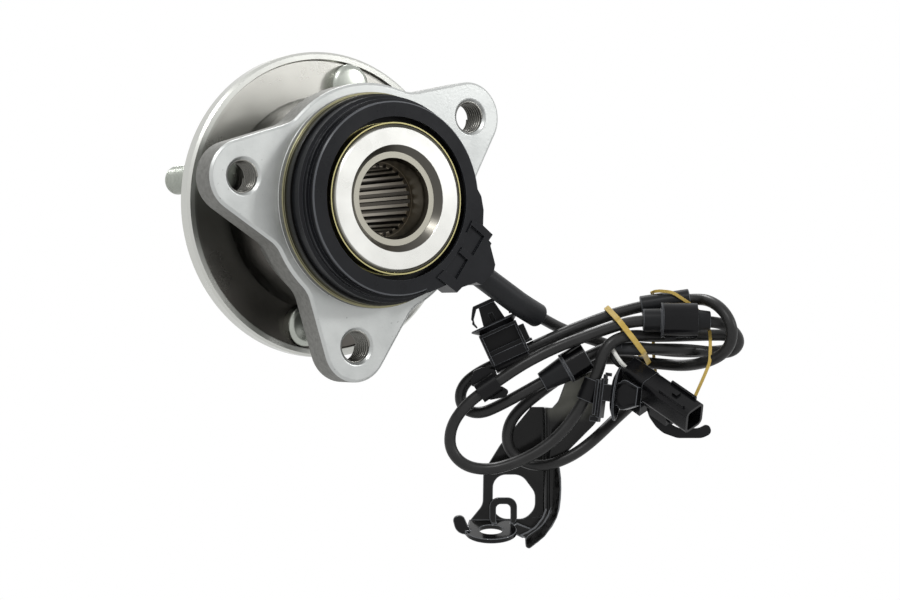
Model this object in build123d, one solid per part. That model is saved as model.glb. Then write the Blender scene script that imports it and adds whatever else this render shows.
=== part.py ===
from build123d import *
import math
import os

# Wheel hub bearing unit of a driven wheel, with its wheel-speed sensor, lead and cable bracket.
# The spin axis is Y. -Y is the knuckle (inboard) side, +Y the wheel (outboard) side, and +Z is up.
# y = 0 is the knuckle-side face of the three mounting ears. Lengths are in millimetres.

# Ball rows. The radii of the rings, seals and sensor follow from the circle of the ball centres.
ball_r = 6.0
ball_count = 12
ball_circle_r = 31.5
row_inboard = 0.0
row_outboard = 17.0
outboard_phase = 15.0
race_clearance = 0.15
race_depth = 5.1
race_shoulder_r = ball_circle_r - race_depth
cage_half_width = 1.7
cage_web = 1.6
cage_reach = 1.6
pocket_clearance = 0.2

# Stationary outer ring
end_bore_r = ball_circle_r + race_depth
land_height = 2.9
land_bore_r = end_bore_r - land_height
seal_seat_step = 0.8
seal_bore_r = end_bore_r + seal_seat_step
seal_seat_depth = 5.0
ring_wall = 3.8
barrel_r = ball_circle_r + ball_r + ring_wall
barrel_end = 26.0
barrel_chamfer = 1.2
seat_step = 0.9
seat_r = barrel_r + seat_step
seat_height = 2.9
pilot_step = 0.95
pilot_r = seat_r - pilot_step
pilot_end = -6.9
spigot_wall = 1.4
spigot_r = end_bore_r + spigot_wall
ring_end = -9.5
body_step = 4.0
body_r = seat_r + body_step
ear_overhang = 11.4
ear_circle_r = body_r + ear_overhang
ear_angles = (172.5, 37.5, 262.5)
ear_tip_r = 14.1
ear_flank_angle = 25.0
ear_root = body_r - 16.2
ear_thickness = 12.9
ear_edge = 1.0
ear_thread_r = 6.2
ear_mouth_chamfer = 1.2
waist_fillet = 12.0

# Pressed inner ring
journal_r = 18.2
inner_face = -18.2
inner_step = 1.5
inner_shoulder_r = race_shoulder_r + inner_step
inner_joint = 7.5
inner_bore_chamfer = 2.55
inner_edge_chamfer = 0.6

# Wheel flange and hollow spindle
nose_end = -15.5
nose_mouth_r = 15.8
nose_mouth_depth = 2.5
counterbore_r = 14.8
spline_start = -4.5
spline_end = 38.0
spline_teeth = 27
spline_tip_r = 12.9
spline_root_r = 14.2
spline_space_tip = 1.8
spline_space_root = 1.2
spline_overlap = 0.5
seal_land_step = 1.8
seal_land_r = race_shoulder_r + seal_land_step
flange_r = 62.0
flange_face = 44.5
flange_rim_face = 37.3
flange_recess = 1.6
rim_width = 3.0
rim_step = 0.5
rim_chamfer = 1.0
stud_margin = 12.0
stud_circle_r = flange_r - stud_margin
dish_start = 27.5
dish_margin = 6.0
dish_r = stud_circle_r - dish_margin
dish_sag_in = 3.5
dish_sag_out = 2.6
rotor_pilot_r = 30.0
rotor_pilot_end = 49.0
wheel_pilot_r = 27.05
wheel_pilot_end = 60.0
nut_recess_r = 20.0
pilot_chamfer = 1.5

# Wheel studs
stud_count = 4
stud_phase = 78.4
stud_head_r = 8.5
stud_head_height = 5.6
stud_head_edge = 1.6
stud_knurl_r = 6.5
stud_knurl_length = 7.0
stud_r = 6.0
stud_tip = 75.7
stud_tip_chamfer = 1.2

# Seals and encoder
seal_wall = 0.8
seal_gap = 0.3
slinger_sleeve = 0.6
slinger_r = inner_shoulder_r + slinger_sleeve
slinger_face = -10.4
slinger_disc = 1.0
slinger_fold_gap = 0.4
slinger_fold_inner = slinger_r + slinger_fold_gap
slinger_fold_wall = 0.5
slinger_fold_outer = slinger_fold_inner + slinger_fold_wall
encoder_inner_r = slinger_fold_outer + slinger_sleeve
encoder_margin = 1.2
encoder_outer_r = end_bore_r - encoder_margin
encoder_thickness = 1.6

# Sensor ring and sensor head
sensor_skirt_wall = 2.1
sensor_skirt_r = spigot_r + sensor_skirt_wall
sensor_skirt_end = -11.8
sensor_air_gap = 0.6
sensor_inner_r = encoder_outer_r + sensor_air_gap
sensor_rim_wall = 1.5
sensor_rim_r = sensor_inner_r + sensor_rim_wall
sensor_step_width = 1.25
sensor_step_r = sensor_rim_r + sensor_step_width
sensor_step_end = -14.9
sensor_face = -18.4
sensor_edge = 0.5
sensor_wall = 1.4
sensor_bore_margin = 2.2
sensor_bore_r = slinger_fold_outer + sensor_bore_margin
head_face = -19.2
head_back = -8.2
window_size = (7.5, 9.5)
window_turn = -35.0
window_places = [(33.8, -15.6), (26.0, -25.0)]
window_depth = 1.2

# Lead, wires and the pieces on the lead
cable_r = 2.35
sleeve_r = 4.9
wire_r = 0.85
bore_clearance = 0.35
cord_ratio = 0.45
sleeve_start = (40.0, -13.6, -28.2)
sleeve_bend = (-33.0, 38.4, 11.2)
tape_r = 2.7
tape_span = (6.0, 16.5)
protector_r = 4.1
protector_span = (3.4, 23.6)

# Pressed cable bracket and its crimp
sheet = 2.0
plate_w = -12.0
strip_w = -4.0
step_u = -20.4
crimp_r = 6.4
crimp_span = (15.6, 25.0)
crimp_relief = 6.0
clamp_r = 7.1
clamp_span = (10.3, 24.0)
clamp_wall = 0.9
outline_round = 6.0
edge_round = 1.4
edge_trace = 0.05
hanger_r = 10.5
hanger_neck = 17.85
hanger_hole_r = 5.0
hanger_centre = (-44.3, -55.0, -1.0)
hanger_tilt = (0, 0.958, 0.286)

# Connector, measured from the joint between its shell and its rear cap
connector_origin = (19.8, 9.2, 11.8)
connector_x = (0.734, 0.451, -0.508)
connector_axis = (0.679, -0.487, 0.549)
shell_width = 10.0
shell_height = 11.6
shell_length = 24.0
shell_round = 2.5
shell_wall = 1.2
socket_depth = 15.0
pin_size = (0.7, 2.4)
pin_gap = 4.0
tongue_thickness = 1.4
tongue_top = -12.8

# Clips
clip_saddle_r = 4.0
clip_root_step = 1.0
upper_clip_angle = 24.5
upper_clip_disc_r = 10.5
right_clip_disc_r = 9.0
left_clip_r = 4.2
clip_disc = 1.0

# Ties and rubber bands
band_width = 3.0
band_thickness = 0.7
band_slack = 0.35
thin_band_r = 0.5
thin_band_bend = 0.8

# The tied lead hangs in a plane turned 33.2 degrees from the ears' plane, about the vertical.
bundle_turn = 33.2
bundle_origin = (95, -21, -79)
turn = math.radians(bundle_turn)
BUNDLE = Plane(
    origin=bundle_origin,
    x_dir=(math.cos(turn), -math.sin(turn), 0),
    z_dir=(-math.sin(turn), -math.cos(turn), 0),
)

# Route of the sensor lead in the bundle plane: right, up, towards the knuckle side.
lead_route = [
    (-25.5, 34, 3), (-19.5, 30.5, -3.5), (-11.5, 27, -11), (-2, 24, -17),
    (8.5, 20.5, -21), (16.5, 14, -22.5), (19.5, 6, -19.5), (15, -2, -13),
    (8, -7.5, -7), (-4.5, -18.5, 1.5), (-14, -24.5, 2.5), (-24, -27.5, 1.2),
    (-32.5, -25.5, -2.5), (-37.5, -20, -4), (-37.5, -11.5, -4.5), (-32.5, -4, -4.5),
    (-20, 5.5, -6.5), (-6.5, 14.5, -11), (4, 16.5, -14), (15, 15, -15),
    (25.5, 14, -11.5), (35, 13.2, -6.5), (43.5, 15, 3.5), (49.5, 18.5, 8.5),
    (52.5, 24, 11.5), (52, 31.5, 12.5), (47.2, 38.6, 7), (40.5, 41.4, -4.3),
    (13, 37.2, -5.2), (-11.5, 28.5, 0), (-36.5, 17, 0), (-52, 9.6, -1),
    (-57.2, 3, -1), (-56, -4, 0.5), (-49, -6.2, 2.5), (-40, -2.2, 3),
    (-27, 5, 3), (-1.5, 19.5, 3), (8, 22, -4.5), (19, 20.5, -10.5),
    (33, 18.8, -16.5), (45.5, 18.8, -20), (54.5, 19.5, -20.5), (58.5, 22.8, -14.5),
    (54.5, 25.8, -8.8), (46, 26, -7.8), (22, 25.3, -2), (12.5, 26.1, 5),
    (5, 24.2, 8.7), (0.5, 19, 9.2), (-1, 12, 8.5), (-4.5, 4, 7.5),
    (-9.5, -5, 7.5), (-16, -13.5, 8), (-24.5, -20.5, 8.5), (-34.5, -25.5, 8),
    (-45, -28.5, 7.5), (-55, -27, 7.5), (-61, -20.5, 7.5), (-61, -12, 8),
    (-56.5, -4, 9.5), (-48.5, 3, 10), (-25.5, 18.5, 10), (2, 28.5, 6.4),
    (15, 32.3, 4.6), (47, 31.8, 5.1), (54, 28.5, 1.5), (57.8, 23, -3),
    (54.5, 18.6, -7.2), (46.5, 18.9, -6), (35, 20.2, 0.5), (22.5, 20.4, 3.4),
    (8.5, 20.5, 3.4),
]


def ring(outline):
    """Turn a closed outline of (radius, y) points about the spin axis."""
    return revolve(make_face(Polyline(*outline, close=True)), Axis.Y, 360)


def disc(radius, start, end):
    return ring([(0, start), (radius, start), (radius, end), (0, end)])


def tube_about_axis(inner, outer, start, end):
    return ring([(inner, start), (outer, start), (outer, end), (inner, end)])


def slab(sketch, start, end):
    """Extrude a sketch of (x, z) shapes from y = start to y = end."""
    return extrude(Plane.XZ.offset(-start) * sketch, amount=end - start, dir=(0, 1, 0))


def polar_xz(radius, angle, y=0.0):
    return (radius * math.cos(math.radians(angle)), y, radius * math.sin(math.radians(angle)))


def race_groove(row):
    """The ring-shaped groove that one ball row runs in."""
    return revolve(Pos(ball_circle_r, row) * Circle(ball_r + race_clearance), Axis.Y, 360)


def ear_outline(angle):
    flank = math.radians(ear_flank_angle)
    reach = ear_circle_r + ear_tip_r * math.sin(flank)
    half = ear_tip_r * math.cos(flank)
    root_half = half + (reach - ear_root) * math.tan(flank)
    blade = Polygon((ear_root, -root_half), (reach, -half), (reach, half), (ear_root, root_half), align=None)
    return Rot(0, 0, angle) * (Pos(ear_circle_r, 0) * Circle(ear_tip_r) + blade)


def ear_plate():
    outline = Circle(body_r)
    for angle in ear_angles:
        outline += ear_outline(angle)
    corners = outline.vertices().filter_by(lambda v: abs(math.hypot(v.X, v.Y) - body_r) < 0.05)
    outline = fillet(corners, waist_fillet)
    plate = slab(outline, 0, ear_thickness)
    rims = plate.faces().sort_by(Axis.Y)
    return chamfer(rims[0].edges() + rims[-1].edges(), ear_edge)


def ear_hole(angle):
    x, _, z = polar_xz(ear_circle_r, angle)
    mouth = ear_thread_r + ear_mouth_chamfer
    profile = [
        (0, 0), (mouth, 0), (ear_thread_r, ear_mouth_chamfer),
        (ear_thread_r, ear_thickness - ear_mouth_chamfer), (mouth, ear_thickness), (0, ear_thickness),
    ]
    return Pos(x, 0, z) * ring(profile)


def outer_ring():
    neck = ring([
        (land_bore_r, ring_end), (spigot_r, ring_end), (spigot_r, pilot_end), (pilot_r, pilot_end),
        (pilot_r, -seat_height), (seat_r, -seat_height), (seat_r, ear_thickness),
        (barrel_r, ear_thickness), (barrel_r, barrel_end - barrel_chamfer),
        (barrel_r - barrel_chamfer, barrel_end), (land_bore_r, barrel_end),
    ])
    body = ear_plate() + neck
    body -= disc(land_bore_r, ring_end, barrel_end)
    body -= disc(end_bore_r, ring_end, row_inboard)
    body -= disc(end_bore_r, row_outboard, barrel_end)
    body -= disc(seal_bore_r, barrel_end - seal_seat_depth, barrel_end)
    body -= race_groove(row_inboard) + race_groove(row_outboard)
    for angle in ear_angles:
        body -= ear_hole(angle)
    return body


def inner_ring():
    outline = [
        (journal_r, inner_face + inner_bore_chamfer), (journal_r + inner_bore_chamfer, inner_face),
        (inner_shoulder_r - inner_edge_chamfer, inner_face),
        (inner_shoulder_r, inner_face + inner_edge_chamfer),
        (inner_shoulder_r, row_inboard), (race_shoulder_r, row_inboard),
        (race_shoulder_r, inner_joint), (journal_r, inner_joint),
    ]
    return ring(outline) - race_groove(row_inboard)


def spline_space():
    """One tooth space of the spline, pointing along +X in its sketch."""
    tip = spline_space_tip / 2
    root = spline_space_root / 2
    return Polygon(
        (spline_tip_r - spline_overlap, -tip), (spline_tip_r, -tip), (spline_root_r, -root),
        (spline_root_r, root), (spline_tip_r, tip), (spline_tip_r - spline_overlap, tip), align=None,
    )


def spline_bore():
    shape = Circle(spline_tip_r)
    for tooth in range(spline_teeth):
        shape += Rot(0, 0, tooth * 360 / spline_teeth) * spline_space()
    return slab(shape, spline_start, spline_end)


def flange_outline():
    """Half section of the flange and spindle without its bore; the dish is an arc."""
    recess_face = flange_rim_face + flange_recess
    rim_inner = flange_r - rim_width
    dish_middle = (
        (seal_land_r + dish_r) / 2 - dish_sag_in, (dish_start + recess_face) / 2 + dish_sag_out,
    )
    lines = Polyline((0, nose_end), (journal_r, nose_end), (journal_r, inner_joint))
    lines += Polyline(
        (journal_r, inner_joint), (race_shoulder_r, inner_joint), (race_shoulder_r, row_outboard),
        (seal_land_r, row_outboard), (seal_land_r, dish_start),
    )
    lines += ThreePointArc((seal_land_r, dish_start), dish_middle, (dish_r, recess_face))
    lines += Polyline(
        (dish_r, recess_face), (rim_inner - rim_step, recess_face), (rim_inner, flange_rim_face),
        (flange_r - rim_chamfer, flange_rim_face), (flange_r, flange_rim_face + rim_chamfer),
        (flange_r, flange_face - rim_chamfer), (flange_r - rim_chamfer, flange_face),
        (rotor_pilot_r, flange_face), (rotor_pilot_r, rotor_pilot_end), (wheel_pilot_r, rotor_pilot_end),
        (wheel_pilot_r, wheel_pilot_end - pilot_chamfer), (wheel_pilot_r - pilot_chamfer, wheel_pilot_end),
        (0, wheel_pilot_end), (0, nose_end),
    )
    return make_face(lines)


def hub_flange():
    body = revolve(flange_outline(), Axis.Y, 360) - race_groove(row_outboard)
    mouth = [
        (0, nose_end), (nose_mouth_r, nose_end), (counterbore_r, nose_end + nose_mouth_depth),
        (counterbore_r, spline_start), (0, spline_start),
    ]
    body -= ring(mouth) + spline_bore()
    recess_step = nut_recess_r - spline_root_r
    body -= ring([
        (0, spline_end), (spline_root_r, spline_end), (nut_recess_r, spline_end + recess_step / 2),
        (nut_recess_r, wheel_pilot_end), (0, wheel_pilot_end),
    ])
    for stud in range(stud_count):
        x, _, z = polar_xz(stud_circle_r, stud_phase + stud * 360 / stud_count)
        body -= Pos(x, 0, z) * disc(stud_knurl_r, flange_rim_face, flange_face)
    return body


def wheel_stud():
    seat = flange_rim_face + flange_recess
    top = seat - stud_head_height
    return ring([
        (0, top), (stud_head_r - stud_head_edge, top), (stud_head_r, top + stud_head_edge),
        (stud_head_r, seat), (stud_knurl_r, seat), (stud_knurl_r, seat + stud_knurl_length),
        (stud_r, seat + stud_knurl_length), (stud_r, stud_tip - stud_tip_chamfer),
        (stud_r - stud_tip_chamfer, stud_tip), (0, stud_tip),
    ])


def wheel_studs():
    studs = []
    for stud in range(stud_count):
        x, _, z = polar_xz(stud_circle_r, stud_phase + stud * 360 / stud_count)
        studs.append(Pos(x, 0, z) * wheel_stud())
    return Compound(children=studs)


def balls(row, phase=0.0):
    spheres = []
    for ball in range(ball_count):
        centre = polar_xz(ball_circle_r, phase + ball * 360 / ball_count, row)
        spheres.append(Pos(*centre) * Sphere(ball_r))
    return Compound(children=spheres)


def cage(row, side, phase=0.0):
    """Crown cage whose closed rim lies on the given side (-1 or 1) of its ball row."""
    rim = row + side * (ball_r + pocket_clearance + cage_web)
    tips = row - side * cage_reach
    inner = ball_circle_r - cage_half_width
    outer = ball_circle_r + cage_half_width
    blank = tube_about_axis(inner, outer, min(rim, tips), max(rim, tips))
    pocket = Circle(ball_r + pocket_clearance)
    for ball in range(ball_count):
        angle = phase + ball * 360 / ball_count
        radial = Plane(origin=polar_xz(inner - cage_web, angle, row), z_dir=polar_xz(1, angle))
        blank -= extrude(radial * pocket, amount=2 * (cage_half_width + cage_web))
    return blank


def seal_outboard():
    """Steel case with a rubber lip that closes the wheel side of the ring."""
    seat = barrel_end - seal_seat_depth
    face = barrel_end - seal_wall
    lip = seal_land_r + seal_gap
    return ring([
        (seal_bore_r - seal_wall, seat), (seal_bore_r, seat), (seal_bore_r, barrel_end),
        (lip, barrel_end), (lip, face), (seal_bore_r - seal_wall, face),
    ])


def seal_inboard():
    lip = slinger_r + seal_gap
    step = ring_end + seal_wall
    return ring([(lip, ring_end), (end_bore_r, ring_end), (end_bore_r, step), (lip, step)])


def encoder_slinger():
    """Folded steel slinger pressed on the inner ring: sleeve, disc and turned-back lip."""
    start = inner_face + inner_edge_chamfer
    disc_face = slinger_face - slinger_disc
    return ring([
        (inner_shoulder_r, start), (slinger_r, start), (slinger_r, disc_face),
        (slinger_fold_inner, disc_face), (slinger_fold_inner, start), (slinger_fold_outer, start),
        (slinger_fold_outer, disc_face), (encoder_outer_r, disc_face),
        (encoder_outer_r, slinger_face), (inner_shoulder_r, slinger_face),
    ])


def encoder_magnet():
    face = slinger_face - slinger_disc
    return tube_about_axis(encoder_inner_r, encoder_outer_r, face - encoder_thickness, face)


head_drawn_r = 38.0
head_outline = [
    (38.7, -9.4), (43.5, -13.1), (41.7, -15.4), (42.9, -16.5), (42.4, -17.5), (44.7, -24.9),
    (43.9, -28.0), (38.0, -33.0), (35.8, -32.0), (29.0, -34.0), (26.6, -36.1), (17.5, -30.2),
    (22.5, -25.9), (26.8, -21.1), (29.0, -18.7), (31.5, -12.3), (34.0, -7.7),
]
ring_flare = [
    (36.0, 6.0), (38.6, 2.0), (39.7, -3.4), (39.4, -10.5), (34.0, -24.0),
    (24.0, -32.5), (14.0, -36.2), (12.0, -33.0), (30.0, -18.0),
]


def on_spigot(outline):
    """Face from an outline drawn for one spigot radius, grown to the spigot's own radius."""
    grow = spigot_r / head_drawn_r
    return Polygon(*[(x * grow, z * grow) for x, z in outline], align=None)


def sensor_cavity():
    """Room for the seal and the encoder inside the sensor ring and head."""
    roof = sensor_face + sensor_wall
    hollow = disc(sensor_inner_r, roof, ring_end) + disc(sensor_bore_r, head_face, roof)
    return hollow + disc(spigot_r, ring_end, pilot_end)


def head_block():
    return slab(on_spigot(head_outline), head_face, head_back) - sensor_cavity()


def sensor_ring():
    """Stepped black cap on the ring's spigot, widened on one side to carry the sensor."""
    cap = ring([
        (0, sensor_face), (sensor_rim_r - sensor_edge, sensor_face), (sensor_rim_r, sensor_face + sensor_edge),
        (sensor_rim_r, sensor_step_end), (sensor_step_r, sensor_step_end),
        (sensor_step_r, sensor_skirt_end - sensor_edge),
        (sensor_skirt_r, sensor_skirt_end), (sensor_skirt_r, pilot_end), (0, pilot_end),
    ])
    flare = slab(on_spigot(ring_flare), sensor_face, sensor_skirt_end)
    return cap + flare - sensor_cavity() - head_block()


def head_window(place):
    """One latch window of the sensor head, square to the head's own direction."""
    opening = Pos(*place) * Rot(0, 0, window_turn) * Rectangle(*window_size)
    return slab(opening, head_face, head_face + window_depth)


def sensor_head():
    block = head_block() - bundle_cylinder(lead_sleeve_start, sleeve_bend, sleeve_r)
    for place in window_places:
        block -= head_window(place)
    return block


def segment_plane(start, end):
    """Plane at start whose normal points to end, both in bundle coordinates."""
    a = BUNDLE.from_local_coords(Vector(*start))
    b = BUNDLE.from_local_coords(Vector(*end))
    return Plane(origin=a, z_dir=b - a), (b - a).length


def bundle_cylinder(start, end, radius):
    base, length = segment_plane(start, end)
    return extrude(base * Circle(radius), amount=length)


def turned_on(base, outline):
    """Turn an outline of (radius, distance) points about a plane's normal."""
    profile = make_face(Polyline(*outline, close=True))
    return base * (Rot(90, 0, 0) * revolve(profile, Axis.Y, 360))


def rounded(outline, largest):
    """Face whose outline has a tangent arc at each corner, no larger than given."""
    radii = corner_radii([outline[-1], *outline, outline[0]], cord_ratio)
    return make_face(FilletPolyline(*outline, radius=[min(radius, largest) for radius in radii], close=True))


def corner_radii(points, ratio):
    """Largest tangent arc at each corner: a share of the shorter run over the half turn's tangent."""
    radii = []
    for before, corner, after in zip(points, points[1:], points[2:]):
        run_in = Vector(*corner) - Vector(*before)
        run_out = Vector(*after) - Vector(*corner)
        half_turn = math.radians(run_in.get_angle(run_out)) / 2
        radii.append(ratio * min(run_in.length, run_out.length) / math.tan(half_turn))
    return radii


def cord(points, radius, name):
    """Round cord along straight runs joined by tangent arcs."""
    radii = corner_radii(points, cord_ratio)
    placed = [BUNDLE.from_local_coords(Vector(*point)) for point in points]
    path = FilletPolyline(*placed, radius=radii)
    base = Plane(origin=placed[0], z_dir=placed[1] - placed[0])
    tube = sweep(base * Circle(radius), path=path)
    expected = math.pi * radius**2 * path.length
    print(name, "length", round(path.length, 1), "radii", [round(r, 1) for r in radii])
    print(name, "volume", round(tube.volume), "expected", round(expected))
    return tube


lead_sleeve_start = BUNDLE.to_local_coords(Vector(*sleeve_start))
lead_sleeve_end = lead_route[0]


def sensor_sleeve():
    """Thick moulded sleeve from the sensor head to the bare lead."""
    points = [tuple(lead_sleeve_start), sleeve_bend, lead_sleeve_end]
    return cord(points, sleeve_r, "sensor_sleeve")


# Parts carried by the lead: their places are points of the route.
grommet_lower_seat = (lead_route[36], lead_route[37])
grommet_upper_seat = (lead_route[64], lead_route[65])
protector_seat = (lead_route[27], lead_route[28])
tape_seat = (lead_route[72], lead_route[71])
lower_grommet_neck = (3.9, 4.0, 5.4)
upper_grommet_neck = (2.2, 4.4, 4.7)
upper_grommet_cap = (29.4, 4.5)
grommet_edge = 0.6
clamp_tab = [(25.8, 24.0), (31.0, 24.0), (31.0, 28.0), (25.8, 28.0)]
clamp_tab_level = (3.5, 5.0)


def direction(vector):
    """World direction of a direction given in the bundle plane's axes."""
    return BUNDLE.from_local_coords(Vector(*vector)) - BUNDLE.origin


def local_plane(origin, x_dir, z_dir):
    """Plane whose origin and axes are given in bundle coordinates."""
    return Plane(
        origin=BUNDLE.from_local_coords(Vector(*origin)), x_dir=direction(x_dir), z_dir=direction(z_dir),
    )


def sheet_part(outline, start, end, largest=edge_round):
    """Plate parallel to the bundle plane, from w = start to w = end, with rounded corners."""
    flat = BUNDLE.offset(start) * rounded(outline, largest)
    return extrude(flat, amount=end - start, dir=BUNDLE.z_dir)


def tube_on(seat, inner, outer, start, end):
    """Tube about a stretch of lead, between two distances from the seat's first point."""
    base, _ = segment_plane(*seat)
    return turned_on(base, [(inner, start), (outer, start), (outer, end), (inner, end)])


def grommet(seat, neck, core, cap):
    """Rubber grommet about the lead: tapered neck, rim, core under the crimp, and end cap."""
    base, _ = segment_plane(*seat)
    bore = cable_r + bore_clearance
    neck_start, neck_r, neck_end_r = neck
    core_start, core_end, core_r = core
    cap_end, cap_r = cap
    rim = core_r + clamp_wall
    return turned_on(base, [
        (bore, neck_start), (neck_r, neck_start), (neck_end_r, core_start - clamp_wall),
        (rim, core_start - clamp_wall),
        (rim, core_start), (core_r, core_start), (core_r, core_end), (cap_r, core_end),
        (cap_r - grommet_edge, cap_end), (bore, cap_end),
    ])


def grommet_lower():
    start, end = crimp_span
    core_r = crimp_r - clamp_wall
    core = (start, end - clamp_wall, core_r)
    return grommet(grommet_lower_seat, lower_grommet_neck, core, (end - grommet_edge, core_r - grommet_edge))


def grommet_upper():
    core = (*clamp_span, clamp_r - clamp_wall)
    return grommet(grommet_upper_seat, upper_grommet_neck, core, upper_grommet_cap)


def grommet_clamp():
    """Rolled steel clamp on the upper grommet, with a short bent tab below."""
    tab = sheet_part(clamp_tab, *clamp_tab_level)
    bore = tube_on(grommet_upper_seat, 0, clamp_r - clamp_wall, *clamp_span)
    return tube_on(grommet_upper_seat, clamp_r - clamp_wall, clamp_r, *clamp_span) + (tab - bore)


def cable_protector():
    return tube_on(protector_seat, cable_r + bore_clearance, protector_r, *protector_span)


def cable_tape():
    """Wound tape over the lead's end, closed where the two wires leave it."""
    start, end = tape_span
    first = lead_route[72][0]
    sleeve = tube_on(tape_seat, cable_r, tape_r, 0, end - first)
    plug = bundle_cylinder(lead_route[72], (start, *lead_route[72][1:]), tape_r)
    return sleeve + plug


plate_outline = [
    (-23.4, -3.7), (-27.6, -3.8), (-40.4, -19.4), (-47.3, -30.5), (-47.5, -44.0), (-53.2, -51.0),
    (-53.2, -53.2), (-35.4, -53.2), (-30.4, -56.6), (-25.4, -53.4), (-23.4, -50.0),
]
plate_opening = [(-43.2, -31.6), (-31.5, -31.6), (-26.0, -39.0), (-26.0, -45.5), (-30.0, -49.8), (-43.5, -49.8)]
strip_outline = [
    (-19.4, -3.7), (-16.9, -1.3), (-12.9, 9.5), (-6.0, 13.5), (-2.0, 11.0), (0.3, -0.5), (-1.0, -9.5),
    (-17.4, -26.0), (-15.7, -36.8), (-17.0, -48.0), (-22.2, -56.2), (-28.6, -61.3), (-30.1, -60.6),
    (-30.4, -56.6), (-24.4, -52.4), (-19.4, -46.8),
]
fold_span = (-3.7, -48.6)
fold_plate_reach = 5.6
fold_strip_reach = 2.3
fold_outer = -20.4
fold_inner_round = 0.9
hook_outline = [(-60.2, -47.8), (-55.6, -47.0), (-54.0, -51.0), (-52.2, -53.6), (-52.2, -55.6), (-58.5, -54.4)]
hook_level = (-1.4, 1.4)
loop_outer = [(-44.8, -52.4), (-44.8, -40.7), (-33.5, -40.7), (-33.5, -52.4)]
loop_inner = [(-42.1, -52.4), (-42.1, -43.4), (-36.2, -43.4), (-36.2, -52.4)]
loop_round = 3.8
loop_level = (-8.4, -6.4)


def hanger():
    """Forward-bent lug with the round fixing hole, and its neck back to the plate."""
    base = local_plane(hanger_centre, (1, 0, 0), hanger_tilt)
    neck = Pos(0, hanger_r / 2) * Rectangle(hanger_neck, hanger_r)
    return extrude(base * (Circle(hanger_r) + neck - Circle(hanger_hole_r)), amount=sheet)


def guard_loop():
    """Small arch of sheet that stands on the hanger and keeps the lead off it."""
    foot = loop_outer[0][1]
    below = [(u, v if v > foot else v - loop_round) for u, v in loop_inner]
    return sheet_part(loop_outer, *loop_level, loop_round) - sheet_part(below, *loop_level, loop_round / 2)


def fold():
    """Double bend that joins the bracket's two levels, drawn as its section and drawn out along it."""
    top, bottom = fold_span
    low, high = plate_w + sheet, strip_w
    left = fold_outer - sheet
    plate_end, strip_end = left - fold_plate_reach, fold_outer + fold_strip_reach
    outer_round = fold_inner_round + sheet
    section = [
        (plate_end, plate_w), (fold_outer, plate_w), (fold_outer, high), (strip_end, high),
        (strip_end, high + sheet), (left, high + sheet), (left, low), (plate_end, low),
    ]
    half = [edge_trace, outer_round, fold_inner_round, edge_trace]
    base = local_plane((0, top, 0), (1, 0, 0), (0, -1, 0))
    bent = make_face(FilletPolyline(*section, radius=[*half, *half], close=True))
    return extrude(base * bent, amount=top - bottom)


def cable_bracket():
    """Pressed steel bracket: two levels joined by a double bend, hanger lug, hook, arch and crimp."""
    start, end = crimp_span
    plate_top = plate_w + sheet
    body = sheet_part(plate_outline, plate_w, plate_top, outline_round)
    body -= sheet_part(plate_opening, plate_w, plate_top, outline_round)
    body += sheet_part(strip_outline, strip_w, strip_w + sheet, outline_round)
    body += fold() - sheet_part(plate_opening, plate_w, plate_top, outline_round)
    body += hanger() + guard_loop() + sheet_part(hook_outline, *hook_level, outline_round)
    core_r = crimp_r - clamp_wall
    body -= tube_on(grommet_lower_seat, 0, core_r, start - crimp_relief, end + clamp_wall)
    return body + tube_on(grommet_lower_seat, core_r, crimp_r, start, end)


# Connector features, as (width, top, bottom, start, end) in the connector's own directions.
shell_latch = (2.4, 1.0, -0.4, 12.5, 15.0)
shell_lug = (8.0, -11.2, -15.5, 4.0, 13.0)
shell_lug_slot = (5.8, -11.6, -14.5, 4.0, 13.0)
rail_size = (1.0, 1.6)
rail_place = (3.6, 0.4)
rail_start = 8.0
rail_length = 13.0
pin_setback = 4.0
cap_body = (10.2, 0.0, -12.0, -12.4, 0.0)
cap_round = 2.0
cap_block = (8.0, -11.0, -20.0, -9.0, -1.0)
cap_room = (9.0, 0.0, -21.0, -9.5, -0.6)
tongue_width = 5.2
tongue_span = (-0.6, 15.0)
hook_plate_level = (1.0, 3.0)


def connector_plane(y=0.0, z=0.0):
    """Plane square to the connector, moved along its height and its mating direction."""
    base = local_plane(connector_origin, connector_x, connector_axis)
    return base * Location((0, y, z))


def connector_box(width, top, bottom, start, end, corner=0.0):
    """Box on the connector: full width, height from bottom to top, from start to end along it."""
    outline = Rectangle(width, top - bottom)
    if corner:
        outline = RectangleRounded(width, top - bottom, corner)
    base = connector_plane((top + bottom) / 2, start)
    return extrude(Plane(base) * outline, amount=end - start)


def connector_shell():
    shell = connector_box(shell_width, 0, -shell_height, 0, shell_length, shell_round)
    socket = connector_box(
        shell_width - 2 * shell_wall, -shell_wall, shell_wall - shell_height,
        shell_length - socket_depth, shell_length, shell_round - shell_wall,
    )
    shell -= socket
    for side in (-1, 1):
        across, up = rail_place
        rail = Plane(connector_plane(0, rail_start)) * (Pos(side * across, up) * Rectangle(*rail_size))
        shell += extrude(rail, amount=rail_length)
    lug = connector_box(*shell_lug) - connector_box(*shell_lug_slot)
    return shell + connector_box(*shell_latch) + lug


def connector_pins():
    """Two blade pins rising from the socket floor."""
    floor = shell_length - socket_depth
    width, height = pin_size
    pins = []
    for side in (-1, 1):
        blade = Pos(side * pin_gap / 2, 0) * Rectangle(width, height)
        base = Plane(connector_plane(-shell_height / 2, floor))
        pins.append(extrude(base * blade, amount=socket_depth - pin_setback))
    return Compound(children=pins)


def connector_cap():
    """Rear cap that closes over the wires, with a square block below."""
    return connector_box(*cap_body, cap_round) + connector_box(*cap_block)


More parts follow.
